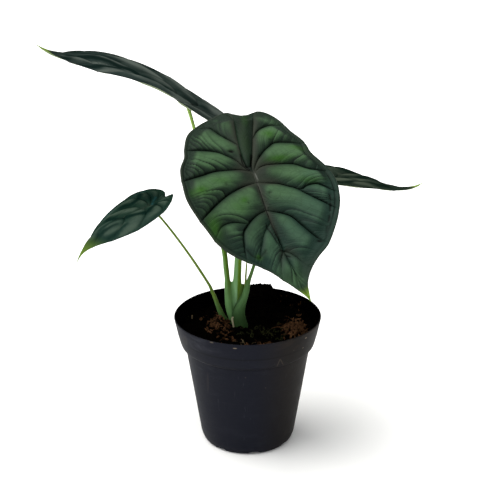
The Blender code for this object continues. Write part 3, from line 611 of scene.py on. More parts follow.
@dataclass(frozen=True)
class LeafFinish:
    """A quilted alocasia blade: dark green with painted light on its crests, grey bands along the veins,
    cross ridges.

    Folds, lines and streaks say how much the cross ridges' painted light and shade, the veins' painted shade
    and the lengthwise bands show in the colour, patches how far the painted light and shade marks cover the
    grey bands, glint how strong the painted highlight streak over the stalk is, and the tip's span is where
    the yellow-green tip begins and is full.
    """

    name: str
    deep: Colour
    middle: Colour
    lit_crest: Colour
    cool: Colour
    cool_lit: Colour
    vivid: Colour
    vein: Colour
    rib: Colour
    crease_shade: Colour
    tip: Colour
    roughness: float = 0.5
    gloss: float = 0.05
    folds: float = 1.0
    lines: float = 1.0
    streaks: float = 0.0
    patches: float = 0.0
    glint: float = 0.0
    tip_span: tuple[float, float] = (0.578, 0.636)

    def material(self, face: Face) -> Material:
        """Return the material of one face of the blade."""
        g = Graph(f"{self.name}_{face.value}")
        return self.upper(g) if face is Face.UPPER else self.under(g)

    def upper(self, g: Graph) -> Material:
        """Build the upper face's material.

        Args:
            g: an empty graph.

        Returns:
            The graph's material.
        """
        plan = g.plan()
        across, along, _ = g.split(plan)
        below = 0.0 - along
        gap, ring, rise, vivid, dent = g.attributes("vein_gap", "ring", "lit_crest", "vivid", "dent")
        grey, tone, crease_shade, phase = g.attributes("grey", "tone", "crease_shade", "ridge_phase")
        shade, strength = g.attribute("shade") * self.lines, g.attribute("ridge_strength") * self.folds
        patch = g.noise(plan, 6.0, 3.0, 0.6)
        cloud = g.noise(plan, 17.0, 4.0, 0.62, 0.3)
        torn = g.noise(plan, 34.0, 3.0, 0.65)
        grain = g.noise(plan, 260.0, 2.0, 0.6)
        band = g.noise(g.stretched(plan, (15.0, 2.2, 1.0)), 1.0, 3.0, 0.6, 0.4)
        wavy = phase + (cloud - 0.5) * 0.18 + (patch - 0.5) * 0.2
        part = wavy.maths("FRACT")
        fine = ((wavy * 3.3 + cloud * 0.8) * math.pi).maths("SINE").absolute()
        net = g.cells(plan, 24.0, "DISTANCE_TO_EDGE").between(0.0, 0.11)
        # painted light and shade: dark flanks and lit, greener crests of the panels and cross folds, cooler
        # towards the lower right
        lit_crest = part.within(0.02, 0.16, 0.2, 1.0) - 0.45
        light = rise * (rise * 0.55 + patch * 0.7 - 0.1) + (cloud - 0.5) * 0.25
        light = light + tone * 0.55 + lit_crest * strength * 0.45
        streaked = light + (band - 0.5) * 1.6 * self.streaks
        cool = (across * 1.2 - along * 1.9 + (patch - 0.5) * 0.6).between(0.12, 0.75)
        cool = cool * (1.0 - below.between(0.44, 0.54) * 0.8)
        # painted shade: a dark line at each cross fold, and the flank before the next fold darkening
        line = part.falling(0.0, 0.1).maths("MAXIMUM", part.between(0.94, 1.0))
        valley = line * 0.7 + part.between(0.45, 1.0) * 0.55
        # painted light and shade patches from the marks, broken up by noise
        wear_and_painted_light = tone + (torn - 0.5) * 0.35 + (band - 0.5) * 0.25
        stroke, ridge, glint = self.midrib_marks(across, along, cloud, torn)
        # painted shade: a broken black line in the crease along each vein
        broken = g.noise(plan, 22.0, 2.0, 0.7).between(0.36, 0.5)
        open_line = (gap + (cloud - 0.5) * 0.5).falling(0.12, 0.62) * crease_shade * broken
        dust = g.cells(plan, 24.0).falling(0.03, 0.055) * g.noise(plan, 9.0).between(0.55, 0.58)
        colour = g.coated(
            g.mix(light.between(0.05, 0.95), self.middle, self.lit_crest),
            (cool * 0.72, g.mix(streaked.between(0.0, 1.0), self.cool, self.cool_lit)),
            (vivid * (0.55 + cloud * 0.6), self.vivid),
            ((1.0 - net) * 0.18 * rise, self.middle),
            # painted shade where the marks are dark
            ((0.0 - tone).between(0.0, 1.0) * 0.8, self.deep),
            # painted shade in the fine ridges' troughs and on each cross fold's dark flank
            (fine.falling(0.0, 0.5) * 0.14 * (0.4 + strength), self.deep),
            ((valley * strength).between(0.0, 1.15) * 0.95, self.deep),
            ((0.5 - band).between(0.0, 0.16) * self.streaks, self.deep),
            (grey * 0.85, self.vein),
            # painted light and shade patches over the grey bands
            (wear_and_painted_light.between(0.08, 1.0) * self.patches, self.lit_crest),
            (vivid * self.patches * 0.8, self.vivid),
            ((0.0 - wear_and_painted_light).between(0.08, 0.9) * self.patches, self.deep),
            ((shade * (0.2 + torn * 1.35)).between(0.05, 1.05) * 0.88, self.deep),
            (stroke * 0.55, self.deep),
            (ridge * (0.5 + torn * 0.7), self.rib),
            # painted highlight streak over the stalk
            (glint * self.glint, GLINT_COLOUR),
            # painted shade: black in the vein creases and in the dents
            (open_line, self.crease_shade),
            (dent, self.crease_shade),
            (ring.between(0.988, 0.998) * 0.5, self.vein),
            (below.between(*self.tip_span), self.tip),
            (dust * 0.3, DUST),
        )
        normal = g.bump(part.within(0.0, 0.16, 0.1, 1.0) * strength, FOLD_BUMP)
        for height, depth in ((fine, FINE_BUMP), (net, NET_BUMP), (grain, LEAF_GRAIN_BUMP)):
            normal = g.bump(height, depth, normal)
        rough = self.roughness + (patch - 0.5) * 0.16 + grey * 0.1
        return g.finish(Base_Color=colour, Roughness=rough, Normal=normal, Specular_IOR_Level=self.gloss)

    @staticmethod
    def midrib_marks(across: Value, along: Value, cloud: Value, torn: Value) -> tuple[Value, Value, Value]:
        """Return what shows along the midrib.

        Args:
            across: the place's x in the plan.
            along: its y in the plan.
            cloud: soft noise.
            torn: finer noise.

        Returns:
            The fine strokes square to the midrib's lower half, its pale ridge near the stalk, and a painted
            highlight streak over the stalk.
        """
        beside, below = across.absolute(), 0.0 - along
        wave = (along + beside * 0.35 + (cloud - 0.5) * 0.02) * STROKE_RATE
        stroke = wave.maths("SINE").between(0.45, 0.95)
        reach = beside.within(0.002, 0.008, 0.01, 0.05)
        stroke = stroke * reach * below.within(0.1, 0.2, 0.38, 0.46) * torn.between(0.35, 0.6)
        ridge = beside.falling(0.0025, 0.008) * below.within(-0.03, 0.02, 0.24, 0.36)
        # a painted highlight streak over the stalk
        glint = (across + along * 0.1 - 0.004).absolute().falling(0.0012, 0.0034)
        glint = glint * below.within(-0.012, -0.002, 0.04, 0.056) * torn.between(0.38, 0.56)
        return stroke, ridge, glint

    def under(self, g: Graph) -> Material:
        """Build the underside's material: paler, with light raised veins.

        Args:
            g: an empty graph.

        Returns:
            The graph's material.
        """
        plan = g.plan()
        _, along, _ = g.split(plan)
        gap, ring = g.attributes("vein_gap", "ring")
        cloud = g.noise(plan, 14.0, 4.0, 0.6)
        net = g.cells(plan, 30.0, "DISTANCE_TO_EDGE").between(0.0, 0.09)
        near = (gap / (2.6 - ring * 1.8)).falling(0.35, 1.0)
        colour = g.coated(
            UNDER_DARK, (cloud, UNDER_PALE), ((1.0 - net) * 0.4, UNDER_NET), (near * 0.8, UNDER_VEIN),
            ((0.0 - along).between(0.592, 0.645), self.tip),
        )
        return g.finish(Base_Color=colour, Roughness=0.6 + (cloud - 0.5) * 0.1,
                        Normal=g.bump(1.0 - net, UNDER_BUMP), Specular_IOR_Level=0.25)


@dataclass(frozen=True)
class StalkFinish:
    """A smooth leaf stalk: blue-green, warmer to one side, partly as painted shade, with painted shadow and
    glow, finely streaked.
    """

    name: str
    cool: Colour
    warm: Colour
    deep: Colour
    glow: Colour
    roughness: float = 0.42

    def material(self) -> Material:
        """Build the stalk's material.

        Returns:
            The material.
        """
        g = Graph(self.name)
        warmth_and_shade, dusk, shine = g.attributes("warmth_and_shade", "dusk", "shine")
        place = g.place()
        streak = g.noise(g.stretched(place, (420.0, 420.0, 9.0)), 1.0, 3.0, 0.6)
        cloud = g.noise(place, 90.0, 3.0, 0.6)
        loose = g.noise(g.stretched(place, (120.0, 120.0, 40.0)), 1.0, 2.0, 0.5)
        colour = g.coated(
            self.cool,
            # warmer to one side, partly painted shade; then painted glow and painted shadow
            ((warmth_and_shade + (loose - 0.5) * 0.5 + (streak - 0.5) * 0.5).between(0.0, 1.25), self.warm),
            ((shine + (loose - 0.5) * 0.3 * shine).between(0.0, 1.0), self.glow),
            (dusk + (cloud - 0.5) * 0.25 + (streak - 0.5) * 0.18, self.deep),
        )
        return g.finish(Base_Color=colour, Roughness=self.roughness + (cloud - 0.5) * 0.15,
                        Normal=g.bump(streak, STALK_BUMP), Specular_IOR_Level=0.06)


@dataclass(frozen=True)
class PotFinish:
    """Thin black moulded plastic with a dull sheen, dry scuffs and fine scratches."""

    name: str
    base: Colour
    warm: Colour
    wear_and_painted_light: Colour
    dusty: Colour
    dirt: Colour
    # near black, for the painted shade inside the pot and under the collar
    inside: Colour
    flecks: tuple = ()

    def spots(self, across: Value, height: Value) -> Value:
        """Return how much the dry flecks and the arrow-shaped scuff cover each place on the pot's front.

        Args:
            across: the place's x in metres.
            height: its height in metres.

        Returns:
            The cover, 0 to 1.
        """
        drop = ARROW_TOP - height
        arm = ((across - ARROW_X).absolute() - drop * ARROW_SLOPE).absolute()
        cover = arm.falling(0.0002, 0.0006) * drop.within(0.0, 0.0006, 0.006, 0.008) * 0.07
        for x, z, half_width, half_height, amount in self.flecks:
            wide, high = (across - x) * (1.0 / half_width), (height - z) * (1.0 / half_height)
            cover = cover + (wide * wide + high * high).falling(0.4, 1.5) * amount
        return cover

    def material(self, gloss: float = 0.06) -> Material:
        """Build the pot's material.

        Args:
            gloss: its specular level, lower for the dull inside.

        Returns:
            The material.
        """
        g = Graph(f"{self.name}_{gloss:.2f}")
        place = g.place()
        x, y, height = g.split(place)
        inner = g.attribute("inside")
        cloud = g.noise(place, 26.0, 4.0, 0.6)
        smear = g.noise(g.stretched(place, (30.0, 30.0, 90.0)), 1.0, 5.0, 0.65, 0.8)
        scratch = g.noise(g.stretched(place, (26.0, 26.0, 700.0)), 1.0, 2.0, 0.5)
        upright = g.noise(g.stretched(place, (700.0, 500.0, 60.0)), 1.0, 2.0, 0.5, 0.6)
        grain = g.noise(place, 900.0, 2.0, 0.6)
        specks = g.cells(place, 95.0).falling(0.05, 0.1) * cloud.between(0.5, 0.62)
        # the worn smear is heavier on the left: scuffs, and partly painted light on that lit side
        left = 0.12 + 0.6 * (-x).between(0.01, 0.045) * height.between(0.045, 0.085)
        right = x.between(0.018, 0.036) * height.between(0.086, 0.1)
        crumbs = g.cells(place, 230.0).falling(0.14, 0.32) * g.noise(place, 80.0, 3.0).between(0.42, 0.54)
        band = x.between(0.008, 0.022) * height.within(0.088, 0.094, 0.104, 0.108)
        colour = g.coated(
            self.base,
            (x.between(0.002, 0.04) * 0.9, self.warm),
            (smear.between(0.5, 0.8) * left, self.wear_and_painted_light),
            # painted shade under the collar on the right
            (x.between(0.022, 0.046) * height.between(0.084, 0.09) * 0.4, self.inside),
            (smear.between(0.45, 0.75) * right * 0.6, self.dusty),
            (scratch.between(0.64, 0.76) * 0.08, self.wear_and_painted_light),
            (upright.between(0.68, 0.76) * 0.22, self.wear_and_painted_light),
            # painted shade under the collar's ledge and in the crease above it
            (height.within(0.0825, 0.0838, 0.0868, 0.088) * 0.3, self.inside),
            (height.within(0.0947, 0.0954, 0.0961, 0.0968) * 0.45, self.inside),
            (specks * height.between(0.08, 0.1) * 0.8, self.dirt),
            (self.spots(x, height) * (0.0 - y).between(0.005, 0.01), self.dirt),
            # painted shade: the faces inside the pot in near black
            (inner, self.inside),
            (inner * crumbs * band * 0.8, COLLAR_CRUMBS),
        )
        rough = 0.44 + smear * 0.22 + (grain - 0.5) * 0.1 + inner * 0.5
        normal = g.bump(cloud, POT_WAVE_BUMP, g.bump(grain, POT_GRAIN_BUMP))
        return g.finish(Base_Color=colour, Roughness=rough, Normal=normal, Specular_IOR_Level=gloss)


@dataclass(frozen=True)
class CrumbFinish:
    """A loose bit in the soil, mottled between two colours."""

    name: str
    dark: Colour
    light: Colour
    grain: float = 900.0
    roughness: float = 0.85

    def material(self) -> Material:
        """Build the bit's material.

        Returns:
            The material.
        """
        g = Graph(self.name)
        place = g.place()
        spots = g.noise(place, self.grain, 3.0, 0.65)
        patch = g.noise(place, 120.0, 2.0, 0.6)
        colour = g.mix((spots * 0.6 + patch * 0.6 - 0.1).between(0.25, 0.85), self.dark, self.light)
        return g.finish(Base_Color=colour, Roughness=self.roughness + (patch - 0.5) * 0.2,
                        Normal=g.bump(spots, CRUMB_BUMP), Specular_IOR_Level=0.0)


LEAF = LeafFinish("leaf", deep=(0.0012, 0.003, 0.0018), middle=(0.009, 0.0185, 0.011),
                  lit_crest=(0.044, 0.09, 0.04), cool=(0.0095, 0.025, 0.019), cool_lit=(0.03, 0.066, 0.044),
                  vivid=(0.022, 0.075, 0.007), vein=(0.026, 0.029, 0.021), rib=(0.034, 0.038, 0.03),
                  crease_shade=(0.0008, 0.0012, 0.0008), tip=(0.12, 0.2, 0.022), glint=0.34)
SIDE_LEAF = LeafFinish("side_leaf", deep=(0.004, 0.0095, 0.008), middle=(0.017, 0.025, 0.0215),
                       lit_crest=(0.064, 0.078, 0.068), cool=(0.015, 0.025, 0.0225),
                       cool_lit=(0.036, 0.048, 0.043), vivid=(0.008, 0.026, 0.018),
                       vein=(0.024, 0.029, 0.025), rib=(0.03, 0.036, 0.031), crease_shade=(0.0015, 0.003, 0.002),
                       tip=(0.15, 0.23, 0.035),
                       gloss=0.0, folds=0.15, lines=0.3, streaks=0.5, patches=0.92, tip_span=(0.575, 0.615))
FAR_LEAF = replace(SIDE_LEAF, name="far_leaf", deep=(0.0035, 0.0085, 0.0055), middle=(0.012, 0.019, 0.0125),
                   lit_crest=(0.042, 0.054, 0.038), cool=(0.011, 0.019, 0.0135), cool_lit=(0.022, 0.031, 0.023),
                   vein=(0.017, 0.023, 0.016), rib=(0.022, 0.029, 0.021))
LOW_LEAF = LeafFinish("low_leaf", deep=(0.0016, 0.008, 0.006), middle=(0.0085, 0.0215, 0.0145),
                      lit_crest=(0.04, 0.06, 0.044), cool=(0.009, 0.022, 0.017), cool_lit=(0.024, 0.04, 0.032),
                      vivid=(0.01, 0.042, 0.044), vein=(0.013, 0.022, 0.016), rib=(0.016, 0.025, 0.018),
                      crease_shade=(0.0015, 0.004, 0.003), tip=(0.09, 0.15, 0.02),
                      gloss=0.0, folds=0.15, lines=0.25, streaks=0.4, patches=0.62, tip_span=(0.42, 0.64))
PALE_STALK = StalkFinish("pale_stalk", cool=(0.115, 0.245, 0.09), warm=(0.085, 0.165, 0.01),
                         deep=(0.01, 0.028, 0.008), glow=(0.205, 0.38, 0.19))
OLIVE_STALK = StalkFinish("olive_stalk", cool=(0.1, 0.215, 0.07), warm=(0.115, 0.18, 0.018),
                          deep=(0.012, 0.028, 0.008), glow=(0.2, 0.32, 0.1))
REAR_STALK = StalkFinish("rear_stalk", cool=(0.115, 0.245, 0.09), warm=(0.085, 0.165, 0.01),
                         deep=(0.01, 0.028, 0.008), glow=(0.36, 0.54, 0.13))
SHOOT_SKIN = StalkFinish("shoot_skin", cool=(0.12, 0.2, 0.05), warm=(0.13, 0.175, 0.025),
                         deep=(0.02, 0.03, 0.006), glow=(0.25, 0.3, 0.1))
DRY_SKIN = StalkFinish("dry_skin", cool=(0.34, 0.32, 0.21), warm=(0.22, 0.18, 0.09),
                       deep=(0.05, 0.045, 0.025), glow=(0.5, 0.5, 0.36))
POT = PotFinish("pot_plastic", base=(0.005, 0.0058, 0.0105), warm=(0.0088, 0.0068, 0.0054),
                wear_and_painted_light=(0.034, 0.036, 0.046), dusty=(0.024, 0.016, 0.01), dirt=(0.3, 0.24, 0.17),
                inside=(0.0003, 0.0003, 0.0004), flecks=(
                    (-0.0098, 0.1068, 0.0016, 0.0005, 0.4), (-0.028, 0.1092, 0.0015, 0.0006, 0.2),
                    (0.0463, 0.1055, 0.0008, 0.0006, 0.35), (0.0441, 0.0967, 0.0007, 0.0005, 0.2),
                    (-0.0017, 0.0772, 0.0006, 0.0006, 0.06), (0.0144, 0.0661, 0.0006, 0.0006, 0.06),
                    (-0.032, 0.066, 0.0009, 0.01, 0.02), (-0.05, 0.1004, 0.0022, 0.005, 0.03)))
PEAT = CrumbFinish("peat", dark=(0.0003, 0.00025, 0.0002), light=(0.0024, 0.0018, 0.0013), grain=700.0)
COIR = CrumbFinish("coir", dark=(0.006, 0.0028, 0.0012), light=(0.15, 0.072, 0.036), grain=900.0)
MOSS = CrumbFinish("moss", dark=(0.01, 0.013, 0.005), light=(0.044, 0.044, 0.018), grain=1000.0)
STRAW = CrumbFinish("straw", dark=(0.08, 0.055, 0.03), light=(0.33, 0.25, 0.15), grain=800.0)


# Meshes

def link(name: str, mesh: Mesh) -> Object:
    """Put a mesh into the scene as an object at the origin.

    Args:
        name: name of the object.
        mesh: its mesh.

    Returns:
        The new object.
    """
    item = bpy.data.objects.new(name, mesh)
    bpy.context.scene.collection.objects.link(item)
    return item


def add_piece(name: str, points: Array, faces: list, materials: Sequence[Material] = (),
              slots: list[int] | None = None) -> Object:
    """Make a smooth mesh object at the origin from points in metres.

    Args:
        name: object name.
        points: vertex positions, one row each.
        faces: tuples of vertex numbers.
        materials: its materials.
        slots: material number of each face.

    Returns:
        The new object.
    """
    mesh = bpy.data.meshes.new(name)
    mesh.from_pydata(np.asarray(points, float).tolist(), [], faces)
    for material in materials:
        mesh.materials.append(material)
    if slots is not None:
        mesh.polygons.foreach_set("material_index", slots)
    shade_smooth(mesh)
    mesh.update()
    return link(name, mesh)


def shade_smooth(mesh: Mesh) -> None:
    """Shade every face of a mesh smooth."""
    mesh.polygons.foreach_set("use_smooth", [True] * len(mesh.polygons))


def applied(item: Object) -> Mesh:
    """Copy an object's mesh as its modifiers make it, and take them off the object.

    Args:
        item: the object.

    Returns:
        The new mesh.
    """
    graph = bpy.context.evaluated_depsgraph_get()
    mesh = bpy.data.meshes.new_from_object(item.evaluated_get(graph))
    item.modifiers.clear()
    return mesh


def read(elements: Sequence, name: str) -> Array:
    """Read a vector property of a mesh's vertices or faces.

    Args:
        elements: the vertices or faces.
        name: name of the property.

    Returns:
        One row for each.
    """
    values = np.empty(len(elements) * 3)
    elements.foreach_get(name, values)
    return values.reshape(-1, 3)


def bands(rings: int, sides: int, first: int = 0, turned: bool = False) -> list:
    """Return the quads that join closed rings of equally many points.

    Args:
        rings: how many rings there are.
        sides: points of each ring.
        first: number of the first ring's first point.
        turned: whether the quads face the other way.

    Returns:
        Tuples of four point numbers.
    """
    faces = []
    for ring in range(rings - 1):
        for k in range(sides):
            here, there = first + ring * sides + k, first + ring * sides + (k + 1) % sides
            quad = (here, there, there + sides, here + sides)
            faces.append((here, *quad[:0:-1]) if turned else quad)
    return faces


def store(item: Object, name: str, values: Array, domain: str = "POINT") -> None:
    """Store one number for each vertex or face corner of a mesh."""
    layer = item.data.attributes.new(name, "FLOAT", domain)
    layer.data.foreach_set("value", np.asarray(values, np.float32).ravel())


@dataclass(frozen=True)
class Panel:
    """A part of a blade between two veins.

    The veins are first and second, counted from the tip round the right side, and meet the margin at start
    and end.  Lean is -1 or 1 where one of them is nearer the tip, and 0 for the panel at the notch.
    """

    first: str
    second: str
    start: float
    end: float
    lean: int


@dataclass
class LeafPlan:
    """The flat drawing of a blade: its outline and the veins that divide it into panels.

    The pillow is the highest bulge between two veins, and the wave the margin's lift between them.
    """

    right: tuple
    notch: Point
    left: tuple
    veins: tuple
    pillow: float
    wave: float
    looks: dict = field(default_factory=dict)
    hem: tuple = PLAIN_HEM
    ridges: dict = field(default_factory=dict)
    band: float = 11 / 12
    lines: dict = field(default_factory=dict)
    parents: dict = field(default_factory=dict)
    ends: dict = field(default_factory=dict)

    def __post_init__(self) -> None:
        """Lay out the margin and run every vein."""
        self.margin = smooth_path([TIP, *self.right, self.notch, *reversed(self.left), TIP], 1800)
        self.run = np.linspace(0.0, 1.0, len(self.margin))
        rows = [row * FINE for row, _ in MIDRIB_NODES]
        reach = np.interp(range(ROWS + 1), rows, [-y for _, y in MIDRIB_NODES])
        self.lines["midrib"] = np.stack([np.zeros(ROWS + 1), reach], -1)
        self.parents["midrib"] = (None, -1)
        waiting = list(self.veins)
        while waiting:
            name, parent, row, points = waiting.pop(0)
            if parent not in self.lines:
                waiting.append((name, parent, row, points))
                continue
            near = np.linalg.norm(self.margin - np.array(points[-1]), axis=1).argmin()
            self.ends[name] = self.run[near]
            self.parents[name] = (parent, row * FINE)
            start = self.lines[parent][row * FINE]
            own = smooth_path([start, *points[:-1], self.margin[near]], ROWS - row * FINE + 1)
            self.lines[name] = np.vstack([self.lines[parent][:row * FINE], own])
        self.order = [vein[0] for vein in self.veins]

    def owner(self, name: str, row: int) -> tuple[str, int]:
        """Find the vein that a vertex belongs to where veins run together.

        Args:
            name: a vein that runs through it.
            row: its ring.

        Returns:
            The owner's name, and the ring.
        """
        while row <= self.parents[name][1]:
            name = self.parents[name][0]
        return ("midrib", 0) if row == 0 else (name, row)

    def look(self, name: str) -> tuple[Array, Array, Array]:
        """Look up how a vein shows, with the part that it shares with the vein it leaves.

        Args:
            name: name of the vein.

        Returns:
            Greyness, painted shade and painted crease shade at every ring.
        """
        rings = np.arange(ROWS + 1) / ROWS
        parts = []
        for row in range(ROWS + 1):
            reach, shades, (start, end) = self.looks.get(self.owner(name, row)[0], PLAIN_LOOK)
            here = rings[row]
            grey = 1.0 - float(ease((here - 0.6 * reach) / (0.8 * reach)))
            shade = float(np.interp(here, [at for at, _ in shades], [amount for _, amount in shades]))
            shade *= float(ease(here / max(shades[0][0], 0.02))) * (1 - float(ease((here - 0.93) / 0.05)))
            crease_shade = float(ease((here - start) / 0.02) * ease((end - here) / 0.03))
            parts.append((grey, shade, crease_shade))
        return tuple(np.array(parts).T)

    def ridging(self, name: str, ring: Array, far: Array, drift: Array) -> tuple:
        """Return a panel's ridge phase, whole on each ridge line, and the strength of the lines around it.

        Args:
            name: the vein at the panel's first column.
            ring: ring of each place.
            far: 0 at the vein nearer the tip, 1 at the other one.
            drift: what the lines wander by, in rings.

        Returns:
            Two arrays of rings by columns.
        """
        bend, power, rows = self.ridges.get(name, PLAIN_RIDGES)
        starts = [row[0] for row in rows]
        last = starts[-1] - starts[-2]
        starts = [starts[0] - 2.0, *starts, starts[-1] + last, starts[-1] + 9 * last]
        phases = [-2.0, *range(len(rows)), len(rows), len(rows) + 8.0]
        level = ring - bend * far ** power + drift
        phase = np.interp(level, starts, phases)
        strengths = [0.0, *(row[1] for row in rows), 0.3, 0.3]
        strength = np.interp(phase, [-1.0, *range(len(rows)), len(rows), len(rows) + 8.0], strengths)
        return phase, strength

    def panels(self) -> Iterator[Panel]:
        """Go through the panels, from the tip up the right side and down the left one.

        Returns:
            An iterator over them.
        """
        names = ["midrib", *self.order, "midrib"]
        ends = [0.0, *(self.ends[name] for name in self.order), 1.0]
        halfway = names.index("right basal rib")
        for index in range(len(names) - 1):
            lean = 0 if index == halfway else (-1 if index < halfway else 1)
            yield Panel(*names[index:index + 2], *ends[index:index + 2], lean)


@dataclass
class Mark:
    """A soft oval spot on a blade's plan or on the soil, turned by degrees."""

    x: float
    y: float
    across: float
    along: float
    turn: float = 0.0
    amount: float = 1.0

    def at(self, flat: Array) -> Array:
        """Weigh the mark.

        Args:
            flat: plan points.

        Returns:
            Its weight at each.
        """
        cosine, sine = math.cos(math.radians(self.turn)), math.sin(math.radians(self.turn))
        x, y = flat[..., 0] - self.x, flat[..., 1] - self.y
        u = (x * cosine + y * sine) / self.across
        v = (y * cosine - x * sine) / self.along
        return self.amount * np.exp(-(u * u + v * v))


@dataclass
class Streak:
    """A soft line on a blade's plan."""

    points: tuple
    width: float
    amount: float = 1.0

    def at(self, flat: Array) -> Array:
        """Weigh the line.

        Args:
            flat: plan points.

        Returns:
            Its weight at each.
        """
        path = smooth_path(self.points, 40)
        gap = np.linalg.norm(flat[..., None, :] - path, axis=-1).min(-1)
        return self.amount * np.exp(-(gap / self.width) ** 2)


def summed(marks: tuple, flat: Array, low: float = 0.0) -> Array:
    """Return the marks' weights at plan points added up, from low to 1."""
    return np.clip(sum((mark.at(flat) for mark in marks), np.zeros(len(flat))), low, 1)


@dataclass
class Pose:
    """A blade's pose and bend; angles in degrees, bends in degrees per blade length."""

    stalk_end: tuple[float, float, float]
    heading: float
    rise: float
    roll: float
    length: float
    width: float = 1.0
    lobe: float = 1.0
    belly: float = 0.0
    pitch: tuple = (0, 0, 0)
    sway: tuple = (0, 0)
    twist: tuple = (0, 0)
    fold: tuple = (0, 0)
    droop: float = 0.0

    def __post_init__(self) -> None:
        """Work out the frames along the midrib, in small steps from the lobes to the tip."""
        self.origin = np.array(self.stalk_end, float)
        heading, rise = math.radians(self.heading), math.radians(self.rise)
        level = np.array([math.cos(heading), math.sin(heading), 0.0])
        forward = level * math.cos(rise) + np.array([0.0, 0.0, math.sin(rise)])
        side = np.array([-math.sin(heading), math.cos(heading), 0.0])
        up = turn(np.cross(forward, side), forward, np.array(math.radians(self.roll)))
        self.up = up
        self.station = np.linspace(*SPINE_SPAN, SPINE_STEPS)
        powers = [self.station ** k for k in (1, 2, 3)]
        bend = sum(math.radians(k) * p for k, p in zip(self.pitch, powers))
        swing = sum(math.radians(k) * p for k, p in zip(self.sway, powers))
        roll_on = sum(math.radians(k) * p for k, p in zip(self.twist, powers))
        ones = np.ones((len(self.station), 1))
        forward, up = ones * forward, ones * up
        across = np.cross(up, forward)
        across = turn(across, up, swing)
        forward = turn(forward, up, swing)
        forward, up = turn(forward, across, -bend), turn(up, across, -bend)
        up = turn(up, forward, roll_on)
        across = np.cross(up, forward)
        step = self.station[1] - self.station[0]
        spine = np.vstack([np.zeros(3), np.cumsum((forward[1:] + forward[:-1]) / 2 * step, 0)])
        spine = spine - spine[np.abs(self.station).argmin()]
        self.frames = [spine, up, across]

    def place(self, flat: Array, relief: Array) -> Array:
        """Bend plan points with their relief into the blade's real place.

        Args:
            flat: plan points in blade lengths.
            relief: their heights over the plan.

        Returns:
            Their places in millimetres.
        """
        side = flat[..., 0] * self.width * (1 + self.belly * flat[..., 1])
        station = -flat[..., 1] * np.where(flat[..., 1] > 0, self.lobe, 1.0)
        spine, up, across = (
            np.stack([np.interp(station, self.station, frame[:, k]) for k in range(3)], -1)
            for frame in self.frames)
        up = unit(up)
        fold = math.radians(self.fold[0]) + math.radians(self.fold[1]) * station
        curl = math.radians(self.droop) if abs(self.droop) > 1e-4 else 1e-6
        angle = fold + curl * np.abs(side)
        out = (np.sin(angle) - np.sin(fold)) / curl * np.sign(side)
        lift = (np.cos(fold) - np.cos(angle)) / curl
        tilt = np.sign(side) * angle
        normal = up * np.cos(tilt)[..., None] - across * np.sin(tilt)[..., None]
        bent = spine + out[..., None] * across + lift[..., None] * up + relief[..., None] * normal
        return self.origin + bent * self.length


